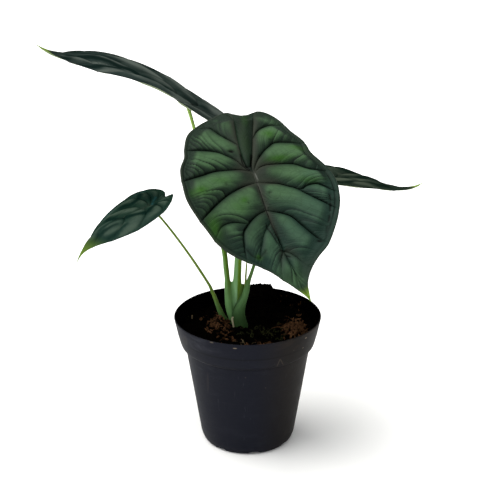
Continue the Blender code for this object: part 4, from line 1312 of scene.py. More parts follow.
@dataclass
class Blade:
    """One leaf blade as a closed sheet with quilting, sunken veins above and raised ones below."""

    name: str
    plan: LeafPlan
    pose: Pose
    finish: LeafFinish
    columns: int = 14
    thickness: float = 0.55
    vivid: tuple = ()
    # marks of painted light and shade
    tones: tuple = ()
    dents: tuple = ()
    seed: int = 1
    fold_height: float = 0.55
    rib_depth: float = 1.5
    rim: float = 0.14

    def grids(self, panel: Panel) -> tuple[dict, Array]:
        """Return a panel's grids of rings by columns.

        Args:
            panel: which panel.

        Returns:
            The grids by name, and the panel's width at each ring in blade lengths.
        """
        plan, ring = self.plan, (np.arange(ROWS + 1) / ROWS)[:, None]
        across = (1 - np.cos(np.linspace(0.0, math.pi, self.columns + 1)))[None, :] / 2
        one, two = (plan.lines[name][:, None] for name in (panel.first, panel.second))
        flat = one * (1 - across[..., None]) + two * across[..., None]
        places = panel.start + (panel.end - panel.start) * across
        edge = np.stack([np.interp(places, plan.run, plan.margin[:, k]) for k in range(2)], -1)
        width = np.linalg.norm(two - one, axis=-1)
        parting = ring[width < SHUT].max()
        outward = np.clip((ring - parting) / (1 - parting), 0.0, 1.0)
        flat = flat + (outward ** 2.5)[..., None] * (edge - flat[-1:])
        profile = (4 * across * (1 - across)) ** 0.6
        swell = plan.pillow * (1 - np.exp(-width / PILLOW_WIDTH))
        inner = ease(ring / 0.25) * (1 - 0.9 * ease((ring - 0.8) / (plan.band - 0.8)))
        relief = swell * inner * profile
        relief = relief + plan.wave * (ring ** 4 * np.minimum(width / 0.15, 1.0)) * profile
        share = across if panel.lean == 1 else 1 - across
        near_tip = share if panel.lean else 1 - np.abs(2 * across - 1)
        hem_ring, hem = (np.interp(places, [row[0] for row in plan.hem], [row[k] for row in plan.hem])
                         for k in (1, 2))
        inside = 1 - ease((ring - hem_ring + 0.025) / 0.03)
        drift = 0.016 * value_noise(flat * 11, self.seed + 3) * (1 + ring)
        phase, strength = plan.ridging(panel.first, ring, 1 - near_tip, drift)
        part = phase - np.floor(phase)
        strength = strength * np.minimum(width / 0.06, 1.0) * ease(near_tip * 1.6 - 0.1)
        strength = np.clip(strength * inside, 0.0, 1.2)
        # each fold rises sharply past its line and falls away slowly to the next one
        fold = ease(part / 0.22) * (1 - part) ** 0.8 - 0.35
        lumps = value_noise(flat * 14, self.seed) * 0.6 + value_noise(flat * 31, self.seed + 5) * 0.3
        body = np.minimum(4 * across * (1 - across) * 2.2, 1.0) * np.minimum(width / 0.12, 1.0)
        body = body * inside * ease(ring / 0.2)
        relief = relief + self.fold_height / self.pose.length * body * (1.8 * fold * strength + 0.8 * lumps)
        away = (across * width * self.pose.length, (1 - across) * width * self.pose.length)
        grey, shade, crease_shade = self.vein_tones(panel, away, near_tip)
        # painted highlight: each pillow's crest light, strongest on the flank away from the tip, which faces
        # the light
        lit_crest = profile * (inner * np.minimum(width / 0.1, 1.0)) * (1.25 - 0.75 * near_tip)
        grids = {"flat": flat, "relief": relief, "gap": np.minimum(*away), "lit_crest": lit_crest, "grey": grey,
                 "shade": shade, "crease_shade": crease_shade, "phase": phase, "strength": strength}
        for name, line in (("ring", ring), ("hem_ring", hem_ring), ("hem", hem)):
            grids[name] = np.broadcast_to(line, phase.shape)
        return grids, width[:, 0]

    def surface(self) -> dict:
        """Join the panels into the upper face.

        Returns:
            Plan points, relief, stored numbers, faces, corner numbers and margin, by name.
        """
        numbers: dict = {}
        names = ("flat", "relief", "gap", "ring", "lit_crest", "grey", "shade", "crease_shade", "hem_ring", "hem")
        stored = {name: [] for name in names}
        faces, phases, strengths, margin = [], [], [], []
        for panel in self.plan.panels():
            grids, width = self.grids(panel)
            ids = np.zeros((ROWS + 1, self.columns + 1), int)
            for row, column in product(range(ROWS + 1), range(self.columns + 1)):
                if column == 0 or width[row] < SHUT:
                    key = self.plan.owner(panel.first, row)
                elif column == self.columns:
                    key = self.plan.owner(panel.second, row)
                else:
                    key = (panel.first + ">", row, column)
                if key not in numbers:
                    numbers[key] = len(numbers)
                    for name in names:
                        stored[name].append(grids[name][row, column])
                ids[row, column] = numbers[key]
            for row, column in product(range(ROWS), range(self.columns)):
                cells = ((row, column), (row + 1, column), (row + 1, column + 1), (row, column + 1))
                corner = []
                for cell in cells:
                    if ids[cell] not in [ids[other] for other in corner]:
                        corner.append(cell)
                if len(corner) > 2:
                    faces.append(tuple(ids[cell] for cell in corner))
                    phases.extend(grids["phase"][cell] for cell in corner)
                    strengths.extend(grids["strength"][cell] for cell in corner)
            margin.extend(ids[ROWS, :-1])
        data = {name: np.array(values) for name, values in stored.items()}
        data.update(faces=faces, phase=phases, strength=strengths, margin=margin)
        return data

    def vein_tones(self, panel: Panel, away: tuple, near_tip: Array) -> tuple:
        """Return how grey a panel is beside its two veins, and its painted shade and painted crease shade
        there.

        Args:
            panel: which panel.
            away: distance from each of its veins in millimetres.
            near_tip: 1 at the vein nearer the tip, 0 at the other, one row.

        Returns:
            Three arrays of rings by columns.
        """
        ring = (np.arange(ROWS + 1) / ROWS)[:, None]
        grey = np.zeros_like(away[0])
        shade, crease_shade = grey.copy(), grey.copy()
        for name, distance in zip((panel.first, panel.second), away):
            tones = [tone[:, None] for tone in self.plan.look(name)]
            # the flank above a vein falls away from the light, so its shade is wider there
            wide = 0.45 + 1.7 * near_tip if panel.lean else 0.8
            if panel.lean:
                grey = np.maximum(grey, tones[0] * np.exp(-(distance / 4.2) ** 2))
            shade = np.maximum(shade, tones[1] * np.exp(-(distance / wide) ** 2))
            crease_shade = np.maximum(crease_shade, tones[2] * (distance < 1.5))
        hub = np.exp(-(ring / 0.17) ** 2) * (0.75 if panel.lean else 0.0)
        return np.maximum(grey * 0.9, hub), shade, crease_shade

    def shaped(self, data: dict) -> Array:
        """Add grooves, the margin band and dents to the upper face's relief.

        Args:
            data: what surface returns.

        Returns:
            The relief in blade lengths.
        """
        names = ("flat", "relief", "gap", "ring", "hem_ring", "hem")
        flat, relief, gap, ring, hem_ring, hem = (data[name] for name in names)
        groove = (0.03 + 0.7 * data["shade"]) * np.exp(-(gap / 0.9) ** 2) * ease(ring / 0.1)
        groove = groove * (1 - ease((ring - hem_ring + 0.01) / 0.03))
        channel = 0.7 * hem * np.exp(-((ring - hem_ring) / 0.012) ** 2)
        strip = 0.45 * hem * ease((ring - hem_ring) / 0.03) * (1 - ease((ring - 0.98) / 0.02))
        relief = relief + (strip - groove - channel) / self.pose.length
        hem_shade = hem * 0.95 * np.exp(-((ring - hem_ring + 0.004) / 0.011) ** 2)
        data["shade"] = np.maximum(data["shade"], hem_shade)
        strip_grey = (0.45 - 0.35 * (flat[:, 0] > 0)) * hem * ease((ring - hem_ring) / 0.02)
        data["grey"] = np.maximum(data["grey"] * (1 - ease((ring - hem_ring) / 0.02)), strip_grey)
        return relief - 0.9 / self.pose.length * summed(self.dents, flat)

    @staticmethod
    def normals(points: Array, faces: list) -> Array:
        """Work out the vertex normals of a sheet of triangles and quads.

        Args:
            points: vertex positions.
            faces: tuples of vertex numbers.

        Returns:
            Unit vectors, one row each.
        """
        corners = np.array([face if len(face) == 4 else (*face, face[2]) for face in faces])
        quads = points[corners]
        flat = np.cross(quads[:, 2] - quads[:, 0], quads[:, 3] - quads[:, 1])
        flat = np.where(np.linalg.norm(flat, axis=1, keepdims=True) > 1e-12, flat,
                        np.cross(quads[:, 1] - quads[:, 0], quads[:, 2] - quads[:, 0]))
        normals = np.zeros_like(points)
        for k in range(4):
            np.add.at(normals, corners[:, k], flat)
        return unit(normals)

    def build(self) -> Object:
        """Build the blade.

        Returns:
            The finished object.
        """
        data = self.surface()
        relief = self.shaped(data)
        upper = self.pose.place(data["flat"], relief)
        faces, gap, ring = data["faces"], data["gap"], data["ring"]
        normal = self.normals(upper, faces)
        count = len(upper)
        rib = self.rib_depth * (1 - ring) ** 0.7 * np.exp(-(gap / 1.3) ** 2) + 0.2 * np.exp(-(gap / 0.7) ** 2)
        depth = self.thickness * (1 - 0.35 * ease((ring - 0.9) / 0.1)) + rib * (1 - ease((ring - 0.9) / 0.08))
        lower = self.pose.place(data["flat"], relief - depth / self.pose.length)
        loop = np.array(data["margin"])
        onward = unit(np.roll(upper[loop], -1, 0) - np.roll(upper[loop], 1, 0))
        outside = unit(np.cross(onward, normal[loop]))
        middle = (upper[loop] + lower[loop]) / 2
        if ((middle - middle.mean(0)) * outside).sum() < 0:
            outside = -outside
        rim = middle + outside * self.rim
        points = np.vstack([upper, lower, rim]) * MM
        under = [tuple(count + k for k in reversed(face)) for face in faces]
        size = len(loop)
        edge = []
        for k in range(size):
            here, there = int(loop[k]), int(loop[(k + 1) % size])
            mid, mid_next = 2 * count + k, 2 * count + (k + 1) % size
            edge.append((here, mid, mid_next, there))
            edge.append((mid, count + here, count + there, mid_next))
        solid = [*faces, *under, *edge]
        slots = [0] * len(faces) + [1] * len(under) + [0] * len(edge)
        skins = [self.finish.material(face) for face in Face]
        item = add_piece(self.name + "_quilted", points, solid, skins, slots)
        self.store_numbers(item, data, solid, loop)
        return item

    def store_numbers(self, item: Object, data: dict, solid: list, loop: Array) -> None:
        """Store what the material reads: vein distance, ring, painted crest light, marks, ridges and plan
        coordinates.

        Args:
            item: the blade's object.
            data: what surface returns.
            solid: the object's faces.
            loop: vertex numbers round the margin.
        """
        flat = data["flat"]
        both = {name: data[name] for name in ("ring", "lit_crest", "grey", "shade", "crease_shade")}
        both.update(vein_gap=data["gap"], vivid=summed(self.vivid, flat), tone=summed(self.tones, flat, -1.0),
                    dent=summed(self.dents, flat))
        for name, values in both.items():
            store(item, name, np.concatenate([values, values, values[loop]]))
        rest = np.zeros(sum(len(face) for face in solid) - len(data["phase"]))
        for name in ("phase", "strength"):
            store(item, "ridge_" + name, np.concatenate([data[name], rest]), "CORNER")
        plan = np.vstack([flat, flat, flat[loop]])
        corners = np.fromiter((k for face in solid for k in face), int)
        layer = item.data.uv_layers.new(name="plan")
        layer.data.foreach_set("uv", plan[corners].astype(np.float32).ravel())


def tube(path: Array, sides: int, seed: int = 3) -> tuple[Array, list]:
    """Return the points in millimetres and the faces of a closed oval tube, cut level near the soil.

    Args:
        path: rows of x, y, z, half width across the view and half depth along it.
        sides: corners of each section.
        seed: picks the unevenness.

    Returns:
        The points and the faces.
    """
    centre = path[:, :3]
    level = ease((154.0 - centre[:, 2:3]) / 14.0)
    onward = unit(unit(np.gradient(centre, axis=0)) * (1 - level) + np.array([0.0, 0.0, 1.0]) * level)
    reference = np.array([0.0, -1.0, 0.0])
    front = unit(reference - onward * (onward @ reference)[:, None])
    across = np.cross(onward, front)
    angle = np.linspace(0.0, math.tau, sides, endpoint=False)
    cosine, sine = np.cos(angle)[None, :], np.sin(angle)[None, :]
    spot = np.stack([cosine * 1.3 + centre[:, 2:3] * 0.06, sine * 1.3 + centre[:, 0:1] * 0.05], -1)
    ripple = 1 + 0.025 * value_noise(spot, seed)
    points = (centre[:, None] + front[:, None] * (cosine * ripple * path[:, 4:5])[..., None]
              + across[:, None] * (sine * ripple * path[:, 3:4])[..., None])
    faces = bands(len(path), sides)
    faces.append(tuple(reversed(range(sides))))
    faces.append(tuple(range((len(path) - 1) * sides, len(path) * sides)))
    return points.reshape(-1, 3), faces


@dataclass
class Stalk:
    """A leaf stalk, or a skin beside one, that follows its route and may end under a blade.

    Its split is where its left side's look gives way to the right side's, and over what width.  Sink and
    flare say how far below its blade's middle it ends, and how much wider than its route's last point.
    """

    name: str
    route: tuple
    tints: tuple
    finish: StalkFinish
    pose: Pose | None = None
    rings: int = 150
    sides: int = 28
    split: tuple[float, float] = (0.0, 1.2)
    sink: float = 0.55
    flare: float = 1.25

    def path(self) -> Array:
        """Run the route from the soil up.

        Returns:
            Centres, half widths and half depths in millimetres.
        """
        rows = [row if len(row) == 5 else (*row, row[3]) for row in self.route]
        if self.pose is not None:
            width = rows[-1][3] * self.flare
            rows.append((*(self.pose.origin - self.sink * self.pose.up), width, width))
        return smooth_path(rows, self.rings)

    def lean(self, points: Array) -> tuple[Array, Array]:
        """Measure how far points lie from the stalk's centre.

        Args:
            points: places in millimetres.

        Returns:
            The way across the view and along it, in half widths.
        """
        path = self.path()
        x, y, width, depth = (np.interp(points[:, 2], path[:, 2], path[:, k]) for k in (0, 1, 3, 4))
        return (points[:, 0] - x) / width, (points[:, 1] - y) / depth

    def tones(self, points: Array) -> Array:
        """Look up the skin's tones.

        Args:
            points: places in millimetres.

        Returns:
            Rows of warmth with painted shade, painted shadow and painted glow.
        """
        table = np.array(self.tints)
        rows = [np.interp(points[:, 2], table[:, 0], table[:, k]) for k in range(1, 7)]
        right = ease((self.lean(points)[0] - self.split[0]) / self.split[1] + 0.5)
        return np.stack([low * (1 - right) + high * right for low, high in zip(rows[::2], rows[1::2])], -1)

    def build(self) -> Object:
        """Build the stalk.

        Returns:
            The finished object.
        """
        points, faces = tube(self.path(), self.sides)
        item = add_piece(self.name + "_stalk", points * MM, faces, [self.finish.material()])
        store_tones(item, self.tones(points))
        return item


def store_tones(item: Object, tones: Array) -> None:
    """Store a stalk's warmth with painted shade, painted shadow and painted glow for its material."""
    for name, values in zip(("warmth_and_shade", "dusk", "shine"), tones.T):
        store(item, name, values)


@dataclass
class Crown:
    """The sheaths that join stalks above the soil, grown together into one soft skin."""

    name: str
    stalks: tuple[Stalk, ...]
    finish: StalkFinish
    top: float = 146.0
    cell: float = 0.42
    cover: float = 0.34

    def build(self) -> Object:
        """Build the joined skin, which lies just over its stalks and sinks into them at the top.

        Returns:
            The finished object.
        """
        points, faces = [], []
        for stalk in self.stalks:
            path = stalk.path()
            path = path[path[:, 2] < self.top]
            cover = self.cover - (self.cover + 0.45) * ease((path[:, 2] - self.top + 10) / 9)
            path[:, 3:] = np.maximum(path[:, 3:] + cover[:, None], 0.2)
            own, sheet = tube(path, stalk.sides)
            start = sum(len(part) for part in points)
            faces.extend(tuple(start + k for k in face) for face in sheet)
            points.append(own)
        rough = add_piece(self.name + "_rough", np.vstack(points) * MM, faces)
        merge = rough.modifiers.new("merge", "REMESH")
        merge.mode = "VOXEL"
        merge.voxel_size = self.cell * MM
        soften = rough.modifiers.new("soften", "SMOOTH")
        soften.factor = 0.5
        soften.iterations = 14
        mesh = applied(rough)
        bpy.data.objects.remove(rough)
        mesh.name = self.name
        mesh.materials.clear()
        mesh.materials.append(self.finish.material())
        shade_smooth(mesh)
        item = link(self.name, mesh)
        places = read(mesh.vertices, "co") / MM
        tones, weights = np.zeros((len(places), 3)), np.zeros((len(places), 1))
        for stalk in self.stalks:
            across, deep = stalk.lean(places)
            low_enough = places[:, 2:] < stalk.route[-1][2] + 2.0
            weight = np.exp(-5.0 * np.hypot(across, deep))[:, None] * low_enough
            tones, weights = tones + weight * stalk.tones(places), weights + weight
        store_tones(item, tones / np.maximum(weights, 1e-9))
        return item


@dataclass
class NurseryPot:
    """The thin round pot: tapered body, stepped collar and a foot with arched notches.

    Profiles are rows of radius and height.  The first notch's place is in degrees, the others follow evenly.
    """

    finish: PotFinish
    steps: int = 192
    notches: int = 8
    first_notch: float = -81.5
    notch_width: float = 12.0
    notch_height: float = 3.0
    notch_reach: float = 38.0
    crease: float = 38.0

    INSIDE = (
        (0, 2), (34, 2), (37, 2.6), (38.3, 7.6), (44.1, 45), (49.9, 85.2), (53.2, 88.4), (54.5, 91),
        (56, 96.4), (58.5, 108.6), (58.8, 109.6), (59.2, 109.95),
    )
    OUTSIDE = (
        (59.7, 110), (60, 109.7), (59.95, 109.2), (57.25, 96.2), (56.95, 95.3), (55.65, 90), (54.8, 87.3),
        (54.3, 86.2), (51.7, 84.3), (51.2, 83.9), (51.05, 83.2), (45.2, 45.5), (39.35, 7.3), (39, 6),
        (37.8, 2.6), (36.9, 1.2), (36.2, 0.6), (35.2, 0.1), (34.2, 0), (0, 0),
    )

    def build(self) -> Object:
        """Build the pot.

        Returns:
            The finished object.
        """
        mesh = bmesh.new()
        angles = np.arange(self.steps) / self.steps * math.tau
        rings = []
        for radius, height in np.array(self.INSIDE + self.OUTSIDE):
            around = angles if radius > 0.01 else [0.0]
            rings.append([mesh.verts.new((radius * math.cos(a) * MM, radius * math.sin(a) * MM, height * MM))
                          for a in around])
        for low, high in zip(rings, rings[1:]):
            for k in range(self.steps):
                after = (k + 1) % self.steps
                corners = ((low, k), (low, after), (high, after), (high, k))
                unique = list(dict.fromkeys(ring[place % len(ring)] for ring, place in corners))
                if len(unique) > 2:
                    mesh.faces.new(unique)
        bmesh.ops.recalc_face_normals(mesh, faces=mesh.faces)
        data = bpy.data.meshes.new("pot_moulded")
        mesh.to_mesh(data)
        mesh.free()
        item = link("pot_moulded", data)
        self.cut_notches(item)
        self.dent(item)
        item.data.materials.clear()
        item.data.materials.append(self.finish.material())
        item.data.materials.append(self.finish.material(gloss=0.0))
        self.mark_inside(item)
        shade_smooth(item.data)
        item.data.set_sharp_from_angle(angle=math.radians(self.crease))
        return item

    def cut_notches(self, item: Object) -> None:
        """Cut the drain notches into the foot and keep the plain mesh.

        Args:
            item: the pot's object.
        """
        radius = (self.notch_width ** 2 / 4 + self.notch_height ** 2) / (2 * self.notch_height)
        cutters = []
        for index in range(self.notches):
            angle = math.radians(self.first_notch) + index * math.tau / self.notches
            bpy.ops.mesh.primitive_cylinder_add(vertices=64, radius=radius * MM, depth=14 * MM)
            cutter = bpy.context.active_object
            place = Vector((math.cos(angle), math.sin(angle), 0)) * self.notch_reach * MM
            place.z = (self.notch_height - radius) * MM
            cutter.matrix_world = (Matrix.Translation(place) @ Matrix.Rotation(angle, 4, "Z")
                                   @ Matrix.Rotation(math.radians(90), 4, "Y"))
            notch = item.modifiers.new("notch", "BOOLEAN")
            notch.solver = "EXACT"
            notch.object = cutter
            cutters.append(cutter)
        item.data = applied(item)
        for cutter in cutters:
            bpy.data.objects.remove(cutter)

    @staticmethod
    def mark_inside(item: Object) -> None:
        """Mark the faces that look towards the pot's axis.

        Args:
            item: the pot's object.
        """
        faces = item.data.polygons
        normals, centres = read(faces, "normal"), read(faces, "center")
        facing = (normals[:, :2] * centres[:, :2]).sum(1) / np.maximum(np.hypot(*centres[:, :2].T), 1e-6)
        inside = (facing < -0.3) & (centres[:, 2] > 0.01)
        store(item, "inside", inside, "FACE")
        faces.foreach_set("material_index", inside.astype(np.int32))

    def dent(self, item: Object) -> None:
        """Let the thin wall wander a little, as a soft pot does.

        Args:
            item: the pot's object.
        """
        mesh = item.data
        points = read(mesh.vertices, "co")
        angle = np.arctan2(points[:, 1], points[:, 0])
        height = points[:, 2] / MM
        lift = ease((height - 8) / 40)
        wander = 0.25 * np.sin(2 * angle + 0.6) + 0.15 * np.sin(5 * angle + height * 0.03)
        radius = np.hypot(points[:, 0], points[:, 1])
        scale = 1 + np.where(radius > 0.03, wander * lift * MM / np.maximum(radius, 0.01), 0.0)
        points[:, :2] *= scale[:, None]
        mesh.vertices.foreach_set("co", points.ravel())
        mesh.update()


@dataclass
class SoilBed:
    """The peat's lumpy top and its plain sides, below the loose bits.

    A row of heaps holds a heap's height, its middle's x and y and how far it spreads each way.
    """

    finish: CrumbFinish
    level: float = 97.0
    steps: int = 160

    HEAPS = ((9.0, -24.0, -2.0, 7.0, 9.0), (6.0, 40.0, -9.0, 9.0, 12.0))
    SIDES = ((53.9, 91.2), (52.6, 88.6), (49.6, 84.9), (37.9, 8.0), (35.5, 2.4))

    def height(self, x: Array, y: Array) -> Array:
        """Work out how high the surface stands.

        Args:
            x: places to the right, in millimetres.
            y: places to the back, in millimetres.

        Returns:
            Heights in millimetres.
        """
        spot = np.stack([x, y], -1)
        lumps = 1.5 * value_noise(spot / 14, 5) + 1.1 * value_noise(spot / 6, 6)
        lumps = lumps + 0.6 * value_noise(spot / 2.6, 7)
        radius = np.hypot(x, y)
        bank = 2.6 * ease((radius - 40) / 14) * ease((y + 25) / 50)
        mound = 3.0 * np.exp(-((x + 7) ** 2 + y ** 2) / 260)
        for tall, middle_x, middle_y, across, along in self.HEAPS:
            mound = mound + tall * np.exp(-((x - middle_x) / across) ** 2 - ((y - middle_y) / along) ** 2)
        steep = 17.0 * np.exp(-(((x - 11) / 14) ** 6 + ((y - 46) / 8) ** 4))
        steep = steep * (1 + 0.08 * value_noise(spot / 5, 8))
        return self.level + lumps + bank + mound + steep

    def build(self) -> Object:
        """Build the soil body.

        Returns:
            The finished object.
        """
        angles = np.arange(self.steps) / self.steps * math.tau
        points = [(0.0, 0.0, float(self.height(np.zeros(1), np.zeros(1))[0]))]
        rings = [(radius, None) for radius in np.linspace(0.0, 54.4, 60)[1:]] + list(self.SIDES)
        for radius, fixed in rings:
            x, y = radius * np.cos(angles), radius * np.sin(angles)
            z = self.height(x, y) if fixed is None else np.full(self.steps, fixed)
            points.extend(zip(x, y, z))
        faces = [(0, 1 + k, 1 + (k + 1) % self.steps) for k in range(self.steps)]
        faces += bands(len(rings), self.steps, 1, turned=True)
        faces.append(tuple(reversed(range(len(points) - self.steps, len(points)))))
        return add_piece("soil_bed", np.array(points) * MM, faces, [self.finish.material()])


class BitShape(Enum):
    """The loose bits in the soil."""

    LUMP = "lump"
    CHIP = "chip"
    CURL = "curl"
    FIBRE = "fibre"

    def build(self) -> Object:
        """Build one bit, about a metre long so that its scale is its length.

        Returns:
            The finished object.
        """
        if self is BitShape.LUMP:
            return self.rough((0.5, 0.42, 0.36), 0.16)
        if self is BitShape.CHIP:
            return self.rough((0.5, 0.2, 0.15), 0.09)
        turns, reach, thick = (1.1, 0.34, 0.075) if self is BitShape.CURL else (0.16, 1.0, 0.018)
        angle = np.linspace(0.0, math.tau * turns, 14)
        radius = reach * (1 - 0.3 * angle / angle[-1])
        lift = 0.1 * np.sin(angle * 2.3)
        path = np.stack([radius * np.cos(angle) - reach, radius * np.sin(angle), lift], -1)
        sides = 5
        around = np.linspace(0.0, math.tau, sides, endpoint=False)
        onward = unit(np.gradient(path, axis=0))
        side = unit(np.cross(onward, (0.0, 0.0, 1.0)))
        other = np.cross(onward, side)
        taper = thick * np.sin(np.linspace(0.35, math.pi - 0.2, len(path)))[:, None, None]
        points = path[:, None] + taper * (side[:, None] * np.cos(around)[:, None] + other[:, None]
                                          * np.sin(around)[:, None])
        faces = bands(len(path), sides)
        faces += [tuple(reversed(range(sides))), tuple(range(sides * (len(path) - 1), sides * len(path)))]
        return add_piece(self.value, points.reshape(-1, 3), faces)

    def rough(self, size: tuple, depth: float) -> Object:
        """Make a rough ball.

        Args:
            size: its scale along each axis.
            depth: how far the roughness reaches.

        Returns:
            The ball.
        """
        mesh = bmesh.new()
        bmesh.ops.create_icosphere(mesh, subdivisions=2, radius=1.0)
        points = np.array([vertex.co for vertex in mesh.verts])
        faces = [tuple(vertex.index for vertex in face.verts) for face in mesh.faces]
        mesh.free()
        shift = 1 + 2 * depth * value_noise(points * 1.7, 3) + depth * value_noise(points * 4, 9)
        return add_piece(self.value, points * shift[:, None] * np.array(size), faces)


@dataclass
class Litter:
    """Loose bits strewn over the soil where its marks lie, realized as one plain mesh.

    Marks are in millimetres, sizes in millimetres, and the density counts bits in a square metre.  The
    ground that they fall on is a square grid as far as its reach, used inside the soil's edge and where the
    marks are stronger than the faintest cover.
    """

    name: str
    shape: BitShape
    finish: CrumbFinish
    marks: tuple
    density: float
    sizes: tuple[float, float]
    seed: int
    raise_by: float = 0.0
    tilt: float = 3.2
    steps: int = 90
    reach: float = 54.0
    soil_edge: float = 53.6
    faintest: float = 0.08

    def group(self, bit: Object) -> NodeTree:
        """Build the node group that strews a bit.

        Args:
            bit: the object to strew.

        Returns:
            The node group.
        """
        tree = bpy.data.node_groups.new(self.name, "GeometryNodeTree")
        kinds = {"Ground": "Geometry", "Density": "Float", "Smallest": "Float", "Largest": "Float",
                 "Seed": "Int"}
        for name, kind in kinds.items():
            tree.interface.new_socket(name, in_out="INPUT", socket_type="NodeSocket" + kind)
        tree.interface.new_socket("Bits", in_out="OUTPUT", socket_type="NodeSocketGeometry")
        nodes = tree.nodes
        start, end = nodes.new("NodeGroupInput"), nodes.new("NodeGroupOutput")
        cover = nodes.new("GeometryNodeInputNamedAttribute")
        cover.data_type = "FLOAT"
        cover.inputs["Name"].default_value = "cover"
        amount = nodes.new("ShaderNodeMath")
        amount.operation = "MULTIPLY"
        strew = nodes.new("GeometryNodeDistributePointsOnFaces")
        one = nodes.new("GeometryNodeObjectInfo")
        one.inputs["Object"].default_value = bit
        place = nodes.new("GeometryNodeInstanceOnPoints")
        angle, size = nodes.new("FunctionNodeRandomValue"), nodes.new("FunctionNodeRandomValue")
        angle.data_type = "FLOAT_VECTOR"
        angle.inputs["Min"].default_value = (-self.tilt, -self.tilt, 0.0)
        angle.inputs["Max"].default_value = (self.tilt, self.tilt, math.tau)
        size.data_type = "FLOAT"
        real, paint = nodes.new("GeometryNodeRealizeInstances"), nodes.new("GeometryNodeSetMaterial")
        paint.inputs["Material"].default_value = self.finish.material()
        wires = (
            (start, "Ground", strew, "Mesh"), (start, "Density", amount, 0), (cover, "Attribute", amount, 1),
            (amount, 0, strew, "Density"), (start, "Seed", strew, "Seed"), (start, "Seed", angle, "Seed"),
            (start, "Seed", size, "Seed"), (start, "Smallest", size, 2), (start, "Largest", size, 3),
            (strew, "Points", place, "Points"), (one, "Geometry", place, "Instance"),
            (angle, "Value", place, "Rotation"), (size, 1, place, "Scale"),
            (place, "Instances", real, "Geometry"), (real, "Geometry", paint, "Geometry"),
            (paint, "Geometry", end, "Bits"),
        )
        for source, output, target, entry in wires:
            tree.links.new(source.outputs[output], target.inputs[entry])
        return tree

    def build(self, bed: "SoilBed") -> Object:
        """Return the strewn bits as one mesh.

        Args:
            bed: the soil that they lie on.

        Returns:
            The new object.
        """
        steps = self.steps
        line = np.linspace(-self.reach, self.reach, steps)
        x, y = (part.ravel() for part in np.meshgrid(line, line))
        points = np.stack([x, y, bed.height(x, y) + self.raise_by], -1)
        cover = summed(self.marks, points[:, :2])
        cover = np.where(cover > self.faintest, cover, 0.0) * (np.hypot(x, y) < self.soil_edge)
        faces = [(row * steps + k, row * steps + k + 1, (row + 1) * steps + k + 1, (row + 1) * steps + k)
                 for row in range(steps - 1) for k in range(steps - 1)]
        ground = add_piece(self.name + "_ground", points * MM, faces)
        store(ground, "cover", cover)
        bit = self.shape.build()
        modifier = ground.modifiers.new("strew", "NODES")
        modifier.node_group = self.group(bit)
        inputs = {"Density": self.density, "Smallest": self.sizes[0] * MM, "Largest": self.sizes[1] * MM,
                  "Seed": self.seed}
        for socket in modifier.node_group.interface.items_tree:
            if socket.in_out == "INPUT" and socket.name in inputs:
                modifier[socket.identifier] = inputs[socket.name]
        bpy.context.view_layer.update()
        mesh = applied(ground)
        bpy.data.objects.remove(ground)
        bpy.data.objects.remove(bit)
        mesh.name = self.name
        return link(self.name, mesh)


@dataclass
class Studio:
    """The pale floor, the soft lights and the camera.

    The camera is the photograph's: its film's width in millimetres, the focal length and the picture's
    width in the photograph's pixels, its place in metres and its tilt in degrees.  The world's strength is
    its glow, and where the camera sees it the shown glow comes on top.
    """

    floor_colour: Colour = (0.93, 0.93, 0.925)
    floor_reach: float = 12.0
    film: float = 36.0
    focal_pixels: float = 1189.0
    photo_pixels: float = 500.0
    eye: tuple = (0.00192, -0.8938, 0.5034)
    tilt: float = 69.33
    glow: float = 0.55
    shown_glow: float = 0.5

    def build(self) -> None:
        """Add the stage to the scene."""
        scene = bpy.context.scene
        scene.view_settings.view_transform = "Standard"
        scene.view_settings.look = "None"
        self.floor()
        self.camera(scene)
        self.world(scene)
        self.sun("overhead", (-0.38, 0.02, 1.0), 60.0, 4.2, (1.0, 0.99, 0.97))
        self.sun("front_fill", (-0.35, -1.0, 0.55), 80.0, 0.8, (0.97, 0.99, 1.0))

    def floor(self) -> None:
        """Add a large plain floor."""
        size = self.floor_reach
        points = [(-size, -size, 0), (size, -size, 0), (size, size, 0), (-size, size, 0)]
        g = Graph("floor_paper")
        shade = g.noise(g.place(), 3.0, 2.0)
        tone = self.floor_colour
        colour = g.mix(shade * 0.1, tone, tuple(0.98 * k for k in tone))
        material = g.finish(Base_Color=colour, Roughness=0.85)
        item = add_piece("studio_floor", np.array(points), [(0, 1, 2, 3)], [material])

    def camera(self, scene: Scene) -> None:
        """Set the camera as the photograph's.

        Args:
            scene: the scene that it looks at.
        """
        data = bpy.data.cameras.new("camera")
        data.sensor_width = self.film
        data.lens = self.focal_pixels / self.photo_pixels * self.film
        item = bpy.data.objects.new("camera", data)
        item.location = self.eye
        item.rotation_euler = (math.radians(self.tilt), 0.0, 0.0)
        scene.collection.objects.link(item)
        scene.camera = item

    def world(self, scene: Scene) -> None:
        """Give the world a plain white light, with a brighter white where the camera sees it.

        Args:
            scene: the scene that it lights.
        """
        world = bpy.data.worlds.new("studio")
        world.use_nodes = True
        back = world.node_tree.nodes["Background"]
        back.inputs["Color"].default_value = (1.0, 1.0, 1.0, 1.0)
        nodes, links = world.node_tree.nodes, world.node_tree.links
        path, strength = nodes.new("ShaderNodeLightPath"), nodes.new("ShaderNodeMath")
        strength.operation = "MULTIPLY_ADD"
        strength.inputs[1].default_value = self.shown_glow
        strength.inputs[2].default_value = self.glow
        links.new(path.outputs["Is Camera Ray"], strength.inputs[0])
        links.new(strength.outputs[0], back.inputs["Strength"])
        scene.world = world

    def sun(self, name: str, towards: tuple, spread: float, power: float, colour: Colour) -> None:
        """Add a distant light.

        Args:
            name: its name.
            towards: direction in which it stands, seen from the plant.
            spread: its width in degrees, which softens the shadows.
            power: its strength.
            colour: its colour.
        """
        data = bpy.data.lights.new(name, "SUN")
        data.energy = power
        data.angle = math.radians(spread)
        data.color = colour
        item = bpy.data.objects.new(name, data)
        item.rotation_euler = Vector(towards).to_track_quat("Z", "Y").to_euler()
        bpy.context.scene.collection.objects.link(item)


